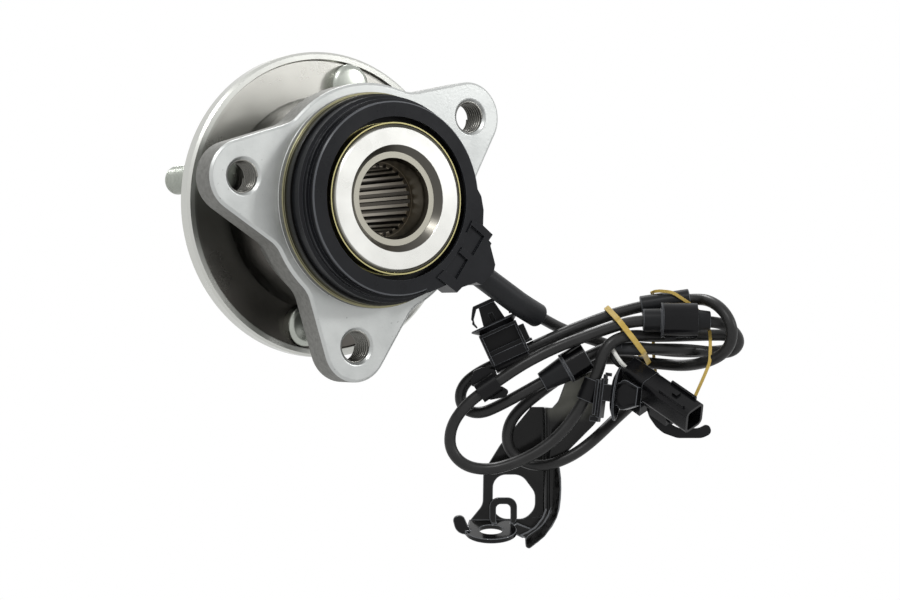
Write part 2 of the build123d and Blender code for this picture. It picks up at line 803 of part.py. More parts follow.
hook_plate = [
    (19.9, -7.3), (22.7, -11.3), (25.6, -13.8), (31.3, -15.8), (41.4, -15.8), (45.5, -13.8), (43.9, -9.7),
    (40.0, -11.8), (32.0, -11.8), (27.8, -9.6), (24.8, -5.5), (23.4, 0.5), (21.8, 1.5), (18.6, -3.0),
]


def connector_hook():
    """Steel tongue held in the connector's lug, ending in a curved hook."""
    tongue = connector_box(tongue_width, tongue_top, tongue_top - tongue_thickness, *tongue_span)
    hook = sheet_part(hook_plate, *hook_plate_level, outline_round)
    return tongue + (hook - connector_box(*cap_room))


def clip_base(seat, x_dir, y_dir):
    """Plane whose x runs along the lead and whose y is the way the clip's head points."""
    z_dir = Vector(*x_dir).cross(Vector(*y_dir))
    return local_plane(seat, x_dir, tuple(z_dir))


def on_clip(base, outline, depth):
    """Flat shape in the clip's own plane, thickened both ways."""
    return extrude(base * Polygon(*outline, align=None), amount=depth, both=True)


def clip_block(base, box, depth):
    """Block in the clip's own plane, from its left, bottom, right and top."""
    left, bottom, right, top = box
    return on_clip(base, [(left, bottom), (right, bottom), (right, top), (left, top)], depth)


def barb(start, length, root, wide, tip):
    """Outline of a barbed tip with a hollow between its two wings."""
    end = start + length
    hip = start + barb_hip * length
    right = [
        (root, start + clip_root_step), (wide - barb_wing, hip + barb_wall / 2),
        (tip - barb_wall, end - 2 * barb_wall),
    ]
    left = [(-x, y) for x, y in reversed(right)]
    return [(-root, start), (-wide, hip), (-tip, end), (tip, end), (wide, hip), (root, start), *right, *left]


def flat_disc(base, at, radius):
    """Disc square to the clip's y direction."""
    spin = base * Location((0, at, 0), (-90, 0, 0))
    return extrude(Plane(spin) * Circle(radius), amount=clip_disc)


# Clip features as (left, bottom, right, top) in the clip's own plane; barbs as start, length and half widths.
barb_hip = 0.18
barb_wall = 1.2
barb_wing = 2.2
upper_clip_depth = 5.0
upper_clip_head_depth = 3.0
upper_clip_box = (-7.5, 0.5, 7.5, 12.0)
upper_clip_window = (-6.0, 5.0, 6.0, 10.8)
upper_clip_rib = (-1.2, 4.0, 1.2, 11.5)
upper_clip_neck = (-3.0, 11.0, 3.0, 16.5)
upper_clip_web = (-0.8, 15.0, 0.8, 25.5)
upper_clip_barb = (15.5, 10.5, 2.5, 8.0, 4.5)
upper_clip_disc = 14.0
upper_clip_half = 7.5
right_clip_seat = (-4.7, 3.8, 7.6)
right_clip_along = (0.383, 0.924, 0.0)
right_clip_head = (0.783, -0.325, 0.530)
right_clip_depth = 3.6
right_clip_head_depth = 2.4
right_clip_saddle_r = 3.8
right_clip_half = 4.5
right_clip_block = (-9.0, 2.9, 5.5, 6.4)
right_clip_web = (-0.8, 6.0, 0.8, 19.5)
right_clip_barb = (9.5, 11.0, 2.2, 6.0, 4.0)
right_clip_disc = 8.0
clip_bore_reach = 6.0
left_clip_strap = (-1.0, 8.0)
left_clip_reach = (-12.0, 24.0)
left_clip_block = [(-53.0, 5.5), (-51.5, 11.5), (-48.0, 13.0), (-42.5, 12.0), (-41.5, 8.0), (-46.0, 4.6)]
left_clip_block_level = (2.0, 7.3)
left_clip_buckle = [(-46.0, -0.4), (-38.5, 1.0), (-37.0, 3.6), (-40.0, 5.4), (-45.5, 4.6)]
left_clip_buckle_level = (5.9, 7.5)
left_clip_link = [(-47.5, 3.5), (-43.0, 3.5), (-41.5, 6.5), (-44.0, 8.6), (-48.0, 6.0)]
left_clip_link_level = (5.9, 8.5)


def clip_saddle(base, half, radius):
    """Round saddle along the lead and the bore for the lead through it."""
    across = Plane(base * Location((-half, 0, 0), (0, 90, 0)))
    saddle = extrude(across * Circle(radius), amount=2 * half)
    circle = across.offset(-clip_bore_reach) * Circle(cable_r + bore_clearance)
    return saddle, extrude(circle, amount=2 * (half + clip_bore_reach))


def clip_upper():
    """Clip on the middle of the lead, its barbed head pointing up and left."""
    tilt = math.radians(upper_clip_angle)
    along = (math.cos(tilt), math.sin(tilt), 0)
    up = (-math.sin(tilt), math.cos(tilt), 0)
    base = clip_base(lead_route[30], along, up)
    saddle, bore = clip_saddle(base, upper_clip_half, clip_saddle_r)
    body = clip_block(base, upper_clip_box, upper_clip_depth)
    body -= clip_block(base, upper_clip_window, upper_clip_depth)
    body += clip_block(base, upper_clip_rib, upper_clip_head_depth + clip_disc)
    body += clip_block(base, upper_clip_neck, upper_clip_head_depth)
    body += on_clip(base, barb(*upper_clip_barb), upper_clip_head_depth)
    body += clip_block(base, upper_clip_web, upper_clip_head_depth)
    body += flat_disc(base, upper_clip_disc, upper_clip_disc_r)
    return body + saddle - bore - bundle_cylinder(sleeve_bend, lead_sleeve_end, sleeve_r + bore_clearance)


def clip_right():
    """Clip on the lead's lower return, its head pointing right and forward."""
    base = clip_base(right_clip_seat, right_clip_along, right_clip_head)
    saddle, bore = clip_saddle(base, right_clip_half, right_clip_saddle_r)
    body = clip_block(base, right_clip_block, right_clip_depth)
    body += on_clip(base, barb(*right_clip_barb), right_clip_head_depth)
    body += clip_block(base, right_clip_web, right_clip_head_depth)
    body += flat_disc(base, right_clip_disc, right_clip_disc_r)
    return body + saddle - bore


def clip_left():
    """Strap clip that ties the outer turn of the lead near its left end."""
    seat = (lead_route[61], lead_route[62])
    strap = tube_on(seat, cable_r + bore_clearance, left_clip_r, *left_clip_strap)
    body = sheet_part(left_clip_block, *left_clip_block_level)
    body += sheet_part(left_clip_buckle, *left_clip_buckle_level)
    body += sheet_part(left_clip_link, *left_clip_link_level)
    return strap + (body - tube_on(seat, 0, cable_r + bore_clearance, *left_clip_reach))


wide_band_centre = (11.0, 27.0, 0.0)
wide_band_across = (0.616, -0.788, 0.0)
wide_band_along = (-0.788, -0.616, 0.0)
wide_band_supports = [
    (-9.3, -3.4, 3.0), (-4.4, 5.7, 2.9), (1.9, 4.9, 4.1), (8.7, 3.4, 3.3),
    (17.3, -12.2, 3.2), (13.4, -13.8, 2.8),
]


def rubber_band_wide():
    """Stretched band round five strands and the taped end."""
    base = local_plane(wide_band_centre, wide_band_across, wide_band_along)
    edges = []
    for across, out, radius in wide_band_supports:
        edges += (Pos(across, out) * Circle(radius + band_slack)).edges()
    inner = make_hull(edges)
    loop = offset(inner, band_thickness) - inner
    return extrude(base * loop, amount=band_width / 2, both=True)


thin_band_gap = (0.50, 0.48)
thin_band_path = [
    (23.9, 44.3, -5.8), (29.6, 43.7, -0.5), (35.0, 39.8, 0.7), (39.8, 36.6, -1.4), (43.4, 31.5, -1.8),
    (44.3, 24.0, 2.6), (43.8, 16.5, 8.0), (41.0, 10.5, 6.9), (27.0, -15.4, 4.0), (27.0, -15.4, 0.2),
    (28.5, 12.0, -14.2), (28.5, 19.5, -18.4), (25.0, 42.4, -9.8),
]


def rubber_band_thin():
    """Thin band from the protector over the strands to the connector's hook and back."""
    placed = [BUNDLE.from_local_coords(Vector(*point)) for point in thin_band_path]
    start, end = [placed[-1] + (placed[0] - placed[-1]) * share for share in thin_band_gap]
    path = FilletPolyline(start, *placed, end, radius=thin_band_bend)
    base = Plane(origin=start, z_dir=placed[0] - start)
    return sweep(base * Circle(thin_band_r), path=path)


white_wire_route = [(6.0, 20.5, 3.0), (3.0, 19.5, 3.4), (2.6, 16.6, 3.6), (5.0, 14.0, 3.4), (8.6, 12.9, 3.2)]
dark_wire_route = [(6.0, 20.3, 4.9), (4.4, 18.6, 5.2), (4.6, 16.4, 5.2), (6.6, 14.2, 5.0), (9.4, 12.6, 5.0)]


def parts_of_hub():
    return {
        "outer_ring": outer_ring(),
        "inner_ring": inner_ring(),
        "hub_flange": hub_flange(),
        "wheel_studs": wheel_studs(),
        "balls_inboard": balls(row_inboard),
        "balls_outboard": balls(row_outboard, outboard_phase),
        "cage_inboard": cage(row_inboard, -1),
        "cage_outboard": cage(row_outboard, 1, outboard_phase),
        "seal_outboard": seal_outboard(),
        "seal_inboard": seal_inboard(),
        "encoder_slinger": encoder_slinger(),
        "encoder_magnet": encoder_magnet(),
        "sensor_ring": sensor_ring(),
        "sensor_head": sensor_head(),
    }


def parts_on_lead():
    return {
        "sensor_sleeve": sensor_sleeve(),
        "sensor_lead": cord(lead_route, cable_r, "sensor_lead"),
        "grommet_lower": grommet_lower(),
        "grommet_upper": grommet_upper(),
        "grommet_clamp": grommet_clamp(),
        "cable_bracket": cable_bracket(),
        "cable_protector": cable_protector(),
        "cable_tape": cable_tape(),
        "clip_upper": clip_upper(),
        "clip_right": clip_right(),
        "clip_left": clip_left(),
        "connector_shell": connector_shell(),
        "connector_pins": connector_pins(),
        "connector_cap": connector_cap(),
        "connector_hook": connector_hook(),
        "wire_white": cord(white_wire_route, wire_r, "wire_white"),
        "wire_dark": cord(dark_wire_route, wire_r, "wire_dark"),
        "rubber_band_wide": rubber_band_wide(),
        "rubber_band_thin": rubber_band_thin(),
    }


os.makedirs("parts", exist_ok=True)
for node, shape in {**parts_of_hub(), **parts_on_lead()}.items():
    export_step(shape, f"parts/{node}.step")
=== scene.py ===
"""Dresses the wheel hub bearing: its finishes and threads, the tied lead and the fittings on it."""
import math

import bmesh
import bpy
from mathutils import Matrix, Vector


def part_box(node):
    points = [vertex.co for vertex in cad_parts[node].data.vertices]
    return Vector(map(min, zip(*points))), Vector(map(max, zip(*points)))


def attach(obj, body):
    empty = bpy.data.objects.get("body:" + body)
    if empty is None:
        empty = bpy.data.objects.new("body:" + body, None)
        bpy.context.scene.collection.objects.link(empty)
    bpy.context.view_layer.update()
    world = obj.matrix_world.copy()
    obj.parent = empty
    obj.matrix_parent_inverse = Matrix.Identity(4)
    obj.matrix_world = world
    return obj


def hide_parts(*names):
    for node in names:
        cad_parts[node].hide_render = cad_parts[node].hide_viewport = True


bl_info = {
    "name": "Wheel Hub Bearing Dresser",
    "version": (1, 0, 0),
    "blender": (4, 5, 0),
    "location": "View3D > Sidebar > Hub",
    "description": "Builds the surfaces, threads, lead and stage of a wheel hub bearing",
    "category": "Object",
}

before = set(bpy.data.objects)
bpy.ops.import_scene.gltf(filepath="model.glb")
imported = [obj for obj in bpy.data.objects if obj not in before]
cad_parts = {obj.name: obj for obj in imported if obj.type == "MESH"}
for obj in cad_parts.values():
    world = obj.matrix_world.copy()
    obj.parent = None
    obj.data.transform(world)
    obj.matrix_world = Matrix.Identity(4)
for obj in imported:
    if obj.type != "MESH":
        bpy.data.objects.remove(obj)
MM = 0.001

# The lead is tied in a plane turned about the vertical; its route is in that plane, in millimetres.
LEAD_ORIGIN = Vector((95, -21, -79))
LEAD_TURN = math.radians(33.2)
LEAD_RIGHT = Vector((math.cos(LEAD_TURN), -math.sin(LEAD_TURN), 0))
LEAD_FRONT = Vector((-math.sin(LEAD_TURN), -math.cos(LEAD_TURN), 0))
LEAD_ROUTE = [
    (-25.5, 34, 3), (-19.5, 30.5, -3.5), (-11.5, 27, -11), (-2, 24, -17),
    (8.5, 20.5, -21), (16.5, 14, -22.5), (19.5, 6, -19.5), (15, -2, -13),
    (8, -7.5, -7), (-4.5, -18.5, 1.5), (-14, -24.5, 2.5), (-24, -27.5, 1.2),
    (-32.5, -25.5, -2.5), (-37.5, -20, -4), (-37.5, -11.5, -4.5), (-32.5, -4, -4.5),
    (-20, 5.5, -6.5), (-6.5, 14.5, -11), (4, 16.5, -14), (15, 15, -15),
    (25.5, 14, -11.5), (35, 13.2, -6.5), (43.5, 15, 3.5), (49.5, 18.5, 8.5),
    (52.5, 24, 11.5), (52, 31.5, 12.5), (47.2, 38.6, 7), (40.5, 41.4, -4.3),
    (13, 37.2, -5.2), (-11.5, 28.5, 0), (-36.5, 17, 0), (-52, 9.6, -1),
    (-57.2, 3, -1), (-56, -4, 0.5), (-49, -6.2, 2.5), (-40, -2.2, 3),
    (-27, 5, 3), (-1.5, 19.5, 3), (8, 22, -4.5), (19, 20.5, -10.5),
    (33, 18.8, -16.5), (45.5, 18.8, -20), (54.5, 19.5, -20.5), (58.5, 22.8, -14.5),
    (54.5, 25.8, -8.8), (46, 26, -7.8), (22, 25.3, -2), (12.5, 26.1, 5),
    (5, 24.2, 8.7), (0.5, 19, 9.2), (-1, 12, 8.5), (-4.5, 4, 7.5),
    (-9.5, -5, 7.5), (-16, -13.5, 8), (-24.5, -20.5, 8.5), (-34.5, -25.5, 8),
    (-45, -28.5, 7.5), (-55, -27, 7.5), (-61, -20.5, 7.5), (-61, -12, 8),
    (-56.5, -4, 9.5), (-48.5, 3, 10), (-25.5, 18.5, 10), (2, 28.5, 6.4),
    (15, 32.3, 4.6), (47, 31.8, 5.1), (54, 28.5, 1.5), (57.8, 23, -3),
    (54.5, 18.6, -7.2), (46.5, 18.9, -6), (35, 20.2, 0.5), (22.5, 20.4, 3.4),
    (8.5, 20.5, 3.4),
]

# The upper clip leans with its strand, and the bracket's upper strip lies between two levels of the plane.
UPPER_CLIP_TILT = math.radians(24.5)
STRIP_LEVELS = (-4.0, -2.0)

# Threaded ears, in degrees about the spin axis and in millimetres.
THREADED_EARS = (172.5, 37.5, 262.5)
EAR_CIRCLE = 57.6
EAR_THREAD_START = 1.2
EAR_THREAD_LENGTH = 10.5
EAR_THREAD_RADIUS = 6.22
EAR_RIDGE = 0.52

# Wheel studs, in millimetres along the axis: head, collar, neck, core and thread.
STUD_COUNT = 4
STUD_CIRCLE = 50.0
STUD_PHASE = math.radians(78.4)
STUD_SEAT = 38.9
STUD_COLLAR_END = 45.9
STUD_NECK_END = 48.5
STUD_CORE_START = 49.4
STUD_CORE = 5.45
STUD_THREAD_START = 49.5
STUD_THREAD_RUNOUT = 2.2
STUD_THREAD_RADIUS = 5.5
STUD_RIDGE = 0.36

# Edges sharper than this stay sharp in the shading of copied and moulded pieces.
CRISP_EDGE = 32.0

# Stage, in metres and degrees: each lamp's name, place, size and power.
FLOOR_HALF_WIDTH = 30.0
FLOOR_LEVEL = -0.5
LAMPS = (
    ("key", (-0.8, -0.7, 1.1), 0.2, 9.0),
    ("fill", (0.9, -1.0, 0.5), 0.2, 5.0),
    ("rim", (0.3, 0.8, 1.1), 0.3, 6.0),
)
LAMP_AIM = Vector((0.03, 0.0, -0.03))
CAMERA_PLACE = (-0.43672, -0.72191, -0.0453)
CAMERA_TURN = (90.43, 0.0, -33.209)
CAMERA_LENS = 86.17


def lead_point(right, up, front):
    """Point of the lead's plane in metres."""
    place = LEAD_ORIGIN + LEAD_RIGHT * right + LEAD_FRONT * front + Vector((0, 0, up))
    return place * MM


def linear(hex_colour):
    """Linear RGBA of an sRGB hex colour."""
    channels = []
    for start in (1, 3, 5):
        value = int(hex_colour[start:start + 2], 16) / 255
        channels.append(value / 12.92 if value <= 0.04045 else ((value + 0.055) / 1.055) ** 2.4)
    return (*channels, 1.0)


def add_node(tree, kind, settings=None, inputs=None, links=None):
    """Adds a node, sets its properties and inputs, and links sockets into it."""
    node = tree.nodes.new(kind)
    for name, value in (settings or {}).items():
        setattr(node, name, value)
    for name, value in (inputs or {}).items():
        node.inputs[name].default_value = value
    for name, source in (links or {}).items():
        tree.links.new(source, node.inputs[name])
    return node


def worn_surface(name, colours, cloud_mm, metallic, roughness, grain_mm, depth_mm, specular=0.5):
    """Material whose colour drifts between two tones in clouds and whose skin has fine grains."""
    material = bpy.data.materials.new(name)
    material.use_nodes = True
    tree = material.node_tree
    shader = tree.nodes["Principled BSDF"]
    shader.inputs["Metallic"].default_value = metallic
    shader.inputs["Specular IOR Level"].default_value = specular
    place = add_node(tree, "ShaderNodeTexCoord").outputs["Object"]
    clouds, grains = (
        add_node(
            tree, "ShaderNodeTexNoise",
            inputs={"Scale": 0.5 / (patch_mm * MM), "Detail": 4.0, "Roughness": 0.6}, links={"Vector": place},
        ).outputs["Fac"]
        for patch_mm in (cloud_mm, grain_mm)
    )
    tint = add_node(
        tree, "ShaderNodeMix", {"data_type": "RGBA"},
        inputs={6: linear(colours[0]), 7: linear(colours[1])}, links={0: clouds},
    )
    tree.links.new(tint.outputs[2], shader.inputs["Base Color"])
    # The clouds lie mostly between 0.35 and 0.7, which is stretched over the range of wear.
    worn = add_node(
        tree, "ShaderNodeMapRange",
        inputs={"From Min": 0.35, "From Max": 0.7, "To Min": roughness * 0.85, "To Max": roughness * 1.2},
        links={"Value": clouds},
    )
    tree.links.new(worn.outputs["Result"], shader.inputs["Roughness"])
    bump = add_node(
        tree, "ShaderNodeBump", inputs={"Distance": depth_mm * MM, "Strength": 0.6}, links={"Height": grains},
    )
    tree.links.new(bump.outputs["Normal"], shader.inputs["Normal"])
    return material, tree, place


def about_axis(tree, place):
    """Distance from the spin axis and place along it, in metres."""
    flat = add_node(tree, "ShaderNodeVectorMath", {"operation": "MULTIPLY"}, {1: (1, 0, 1)}, {0: place})
    radius = add_node(tree, "ShaderNodeVectorMath", {"operation": "LENGTH"}, links={0: flat.outputs[0]})
    along = add_node(tree, "ShaderNodeSeparateXYZ", links={0: place})
    return radius.outputs["Value"], along.outputs["Y"]


def tinted(tree, share, colour, roughness=None):
    """Blends the base colour to another one, and the roughness too, by a share from 0 to 1."""
    shader = tree.nodes["Principled BSDF"]
    before = shader.inputs["Base Color"].links[0].from_socket
    tint = add_node(
        tree, "ShaderNodeMix", {"data_type": "RGBA"}, inputs={7: linear(colour)}, links={0: share, 6: before},
    )
    tree.links.new(tint.outputs[2], shader.inputs["Base Color"])
    if roughness is not None:
        rough = add_node(
            tree, "ShaderNodeMix", {"data_type": "FLOAT"}, inputs={3: roughness},
            links={0: share, 2: shader.inputs["Roughness"].links[0].from_socket},
        )
        tree.links.new(rough.outputs[0], shader.inputs["Roughness"])


def toned(tree, value, start_mm, end_mm, colour, roughness=None):
    """Blends to a colour and a roughness as a distance goes from start to end."""
    share = add_node(
        tree, "ShaderNodeMapRange", inputs={"From Min": start_mm * MM, "From Max": end_mm * MM},
        links={"Value": value},
    )
    tinted(tree, share.outputs["Result"], colour, roughness)


def lathe_marked(tree, place, pitch_mm, depth_mm):
    """Adds rings about the spin axis, as a lathe tool leaves them, on faces and on walls.

    The pitch is a little coarser than a real tool's feed, so that the rings show.
    """
    radius, along = about_axis(tree, place)
    total = add_node(tree, "ShaderNodeMath", {"operation": "ADD"}, links={0: radius, 1: along})
    rings = add_node(tree, "ShaderNodeCombineXYZ", links={"X": total.outputs[0]})
    marks = add_node(
        tree, "ShaderNodeTexNoise", inputs={"Scale": 1 / (pitch_mm * MM), "Detail": 1.0},
        links={"Vector": rings.outputs[0]},
    )
    shader = tree.nodes["Principled BSDF"]
    bump = add_node(
        tree, "ShaderNodeBump", inputs={"Distance": depth_mm * MM, "Strength": 0.5},
        links={"Height": marks.outputs["Fac"], "Normal": shader.inputs["Normal"].links[0].from_socket},
    )
    tree.links.new(bump.outputs["Normal"], shader.inputs["Normal"])


def forged_ring_steel(colour, dark):
    """Outer ring: pale milled faces with dark pits, rough grey forged walls, and a pilot darkened with painted
    shade and painted dark reflection.
    """
    material, tree, place = worn_surface(
        "forged_ring_steel", (dark, colour),
        cloud_mm=9.0, metallic=0.85, roughness=0.4, grain_mm=0.6, depth_mm=0.06,
    )
    shader = tree.nodes["Principled BSDF"]
    wall = add_node(tree, "ShaderNodeAttribute", {"attribute_name": "wall"}).outputs["Fac"]
    skin_mm = 0.9
    skin = add_node(
        tree, "ShaderNodeTexNoise", inputs={"Scale": 0.5 / (skin_mm * MM), "Detail": 4.0, "Roughness": 0.6},
        links={"Vector": place},
    ).outputs["Fac"]
    forged = add_node(
        tree, "ShaderNodeMix", {"data_type": "RGBA"},
        inputs={6: linear("#5E5E5B"), 7: linear("#9C9C98")}, links={0: skin},
    )
    split = add_node(
        tree, "ShaderNodeMix", {"data_type": "RGBA"},
        links={0: wall, 6: shader.inputs["Base Color"].links[0].from_socket, 7: forged.outputs[2]},
    )
    pits = add_node(
        tree, "ShaderNodeMapRange", inputs={"From Min": 0.66, "From Max": 0.72, "To Max": 0.7},
        links={"Value": skin},
    )
    pitted = add_node(
        tree, "ShaderNodeMix", {"data_type": "RGBA"}, inputs={7: linear("#4A4A47")},
        links={0: pits.outputs["Result"], 6: split.outputs[2]},
    )
    tree.links.new(pitted.outputs[2], shader.inputs["Base Color"])
    rough = add_node(
        tree, "ShaderNodeMix", {"data_type": "FLOAT"}, inputs={3: 0.62},
        links={0: wall, 2: shader.inputs["Roughness"].links[0].from_socket},
    )
    tree.links.new(rough.outputs[0], shader.inputs["Roughness"])
    along = about_axis(tree, place)[1]
    toned(tree, along, -2.3, -2.5, "#8E8A6C", 0.3)
    # Painted shade and painted dark reflection: the pilot past the seat line is darkened.
    toned(tree, along, -2.9, -3.0, "#2B2B2A", 0.25)
    return material


def turned_flange_steel(colour, dark):
    """Flange and spindle: bright rim, a dish with painted shade towards the hub and below and painted light
    above, brownish bore, a spline with painted shade and painted highlight on its tooth tips, fine lathe rings.
    """
    material, tree, place = worn_surface(
        "turned_flange_steel", (dark, colour),
        cloud_mm=12.0, metallic=1.0, roughness=0.3, grain_mm=0.8, depth_mm=0.01,
    )
    radius = about_axis(tree, place)[0]
    # Painted shade and painted dark reflection: the dish darkens from the rim towards the hub.
    toned(tree, radius, 59.2, 57.0, "#8B8A85")
    toned(tree, radius, 54.0, 36.0, "#55534E", 0.36)
    # Painted light and painted shade: paler towards the top, darker towards the bottom.
    height = add_node(tree, "ShaderNodeSeparateXYZ", links={0: place}).outputs["Z"]
    toned(tree, height, 18.0, 52.0, "#B9B8B2")
    toned(tree, height, 12.0, -40.0, "#625F5B")
    # The rim takes back the flange's own colour over the painted light and shade.
    toned(tree, radius, 58.4, 59.4, colour)
    toned(tree, radius, 18.6, 18.4, "#ACA99D", 0.26)
    toned(tree, radius, 15.9, 15.6, "#8A8478", 0.3)
    # Painted shade in the bore darkens the spline; painted highlight makes its tooth tips paler again.
    toned(tree, radius, 14.75, 14.65, "#4B463E", 0.34)
    toned(tree, radius, 13.3, 12.95, "#A09A8E", 0.3)
    lathe_marked(tree, place, pitch_mm=0.4, depth_mm=0.02)
    return material


def ground_race_steel(colour, dark):
    """Inner ring: nearly white ground face, a wide chamfer at the bore and a thin outer edge, both darkened
    with painted shade.
    """
    material, tree, place = worn_surface(
        "ground_race_steel", (dark, colour),
        cloud_mm=16.0, metallic=1.0, roughness=0.3, grain_mm=0.5, depth_mm=0.004,
    )
    radius = about_axis(tree, place)[0]
    # Painted shade: the bore chamfer and the thin outer edge are darkened.
    toned(tree, radius, 20.75, 20.6, "#55534E", 0.3)
    toned(tree, radius, 27.35, 27.6, "#8C8B83", 0.3)
    lathe_marked(tree, place, pitch_mm=0.25, depth_mm=0.004)
    return material


def stamped_slinger_steel():
    """Slinger: dark pressed sleeve, a thin passivated, yellowish fold, and past it a band darkened with painted
    shade in the gap to the sensor ring.
    """
    material, tree, place = worn_surface(
        "stamped_slinger_steel", ("#3B3A34", "#4C4A42"),
        cloud_mm=5.0, metallic=1.0, roughness=0.32, grain_mm=0.4, depth_mm=0.01,
    )
    radius = about_axis(tree, place)[0]
    toned(tree, radius, 28.6, 28.7, "#B3AC7C", 0.3)
    # Painted shade: past the fold the slinger is darkened where it lies in the gap to the sensor ring.
    toned(tree, radius, 29.5, 29.6, "#2A2926", 0.3)
    return material


def painted_edge_highlights(tree, colour):
    """Painted highlight: a paler tone on the faces of rounded edges, standing in for the light they catch."""
    tinted(tree, add_node(tree, "ShaderNodeAttribute", {"attribute_name": "edge"}).outputs["Fac"], colour)


def black_moulding(name, colour, roughness):
    """Moulded black plastic or rubber: fine spark-eroded grain, slightly greyer in patches, and a painted
    highlight that pales its rounded edges.

    The grain is drawn coarser than the real one, which is under 0.1 mm and too fine to show.
    """
    greyer = "#" + "".join(f"{min(255, int(colour[start:start + 2], 16) + 10):02X}" for start in (1, 3, 5))
    material, tree, _ = worn_surface(
        name, (colour, greyer),
        cloud_mm=6.0, metallic=0.0, roughness=roughness, grain_mm=0.35, depth_mm=0.015, specular=0.16,
    )
    # Painted highlight: the rounded edges are paled as if they caught the light.
    painted_edge_highlights(tree, "#5A5C60")
    return material


def coated_sheet(colour):
    """Bracket: glossy black coat with soft ripples, a painted reflection that turns the upper strip pale grey
    where it faces the light, and painted highlights on its edges.
    """
    material, tree, place = worn_surface(
        "electrocoated_sheet", (colour, "#232322"),
        cloud_mm=9.0, metallic=0.0, roughness=0.14, grain_mm=6.0, depth_mm=0.12, specular=0.2,
    )
    for way, start, end, tone, roughness in (
        # Painted reflection: the upper strip is toned pale grey, as if it mirrored the bright surroundings.
        (LEAD_FRONT * 3 + Vector((0, 0, 1)), -198.0, -185.0, "#7C7C74", 0.3),
        # Parts of the bracket in front of the strip's level keep the coat's own colour.
        (LEAD_FRONT, -36.2, -35.8, colour, 0.14),
    ):
        reach = add_node(tree, "ShaderNodeVectorMath", {"operation": "DOT_PRODUCT"}, {1: way}, {0: place})
        toned(tree, reach.outputs["Value"], start, end, tone, roughness)
    # Painted highlight on the rounded edges.
    painted_edge_highlights(tree, "#66686B")
    return material


def set_finish(piece, material):
    """Gives a piece one material."""
    piece.data.materials.clear()
    piece.data.materials.append(material)


def finished(piece, material, body, *nodes, slot):
    """Gives a new piece its finish and body, and puts it in the place of CAD nodes; its slot is not used."""
    set_finish(piece, material)
    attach(piece, body)
    if nodes:
        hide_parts(*nodes)
    return piece


def new_piece(name, data):
    """Object of its own in the scene, at the origin."""
    piece = bpy.data.objects.new(name, data)
    bpy.context.scene.collection.objects.link(piece)
    return piece


def plain_mesh(piece):
    """Mesh of a curve or of a piece with its modifiers carried out."""
    return bpy.data.meshes.new_from_object(piece.evaluated_get(bpy.context.evaluated_depsgraph_get()))


def apply_modifiers(piece):
    """Turns a piece with modifiers into a plain mesh."""
    mesh = plain_mesh(piece)
    piece.modifiers.clear()
    piece.data = mesh
    return piece


def smooth_by_angle(mesh, degrees):
    """Shades a mesh smooth but for edges sharper than an angle."""
    mesh.shade_smooth()
    mesh.set_sharp_from_angle(angle=math.radians(degrees))


def softened_copy(node, name, edge_mm, angle=35.0, clamp=True):
    """Copy of a CAD node with its points merged, its edges rounded and its flat faces shaded flat."""
    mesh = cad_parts[node].data.copy()
    if "custom_normal" in mesh.attributes:
        mesh.attributes.remove(mesh.attributes["custom_normal"])
    shape = bmesh.new()
    shape.from_mesh(mesh)
    bmesh.ops.remove_doubles(shape, verts=shape.verts, dist=0.002 * MM)
    bmesh.ops.dissolve_limit(
        shape, angle_limit=math.radians(1.0), verts=shape.verts, edges=shape.edges, delimit={"NORMAL"},
    )
    shape.to_mesh(mesh)
    shape.free()
    smooth_by_angle(mesh, CRISP_EDGE)
    return rounded_edges(new_piece(name, mesh), edge_mm, angle, clamp)


def rounded_edges(piece, edge_mm, angle=35.0, clamp=True):
    """Rounds a piece's edges and stores 1 on the faces of the rounding and 0 on the others, which places the
    painted edge highlight.
    """
    # The bevel puts its own faces in the second of two empty slots, which marks them.
    piece.data.materials.clear()
    for face in piece.data.polygons:
        face.material_index = 0
    piece.data.materials.append(None)
    piece.data.materials.append(None)
    if edge_mm:
        bevel = piece.modifiers.new("edge", "BEVEL")
        bevel.width = edge_mm * MM
        bevel.segments = 2
        bevel.limit_method = "ANGLE"
        bevel.angle_limit = math.radians(angle)
        bevel.material = 1
        bevel.use_clamp_overlap = clamp
    piece.modifiers.new("flat", "WEIGHTED_NORMAL").keep_sharp = True
    apply_modifiers(piece)
    mesh = piece.data
    edge = mesh.attributes.new("edge", "FLOAT", "FACE")
    edge.data.foreach_set("value", [float(face.material_index) for face in mesh.polygons])
    mesh.polygons.foreach_set("material_index", [0] * len(mesh.polygons))
    return piece


def mark_walls(mesh):
    """Stores 1 on the ring's side walls and 0 on its faces square to the spin axis."""
    wall = mesh.attributes.new("wall", "FLOAT", "FACE")
    wall.data.foreach_set("value", [1.0 if abs(face.normal.y) < 0.5 else 0.0 for face in mesh.polygons])


def mark_slopes(mesh):
    """Counts chamfers, which are neither square to the spin axis nor along it, as rounded edges, so that they
    take the painted edge highlight too.
    """
    edge = mesh.attributes["edge"]
    for face in mesh.polygons:
        if 0.25 < abs(face.normal.y) < 0.93:
            edge.data[face.index].value = 1.0


def join_rings(shape, rings):
    """Adds the faces between each closed ring of points and the next."""
    for ring, following in zip(rings, rings[1:]):
        for step in range(len(ring)):
            after = (step + 1) % len(ring)
            shape.faces.new((ring[step], ring[after], following[after], following[step]))


def outward_mesh(name, shape, degrees):
    """Mesh of a finished shape, with its faces outwards and edges sharper than an angle kept sharp."""
    bmesh.ops.recalc_face_normals(shape, faces=shape.faces)
    mesh = bpy.data.meshes.new(name)
    shape.to_mesh(mesh)
    shape.free()
    smooth_by_angle(mesh, degrees)
    return mesh


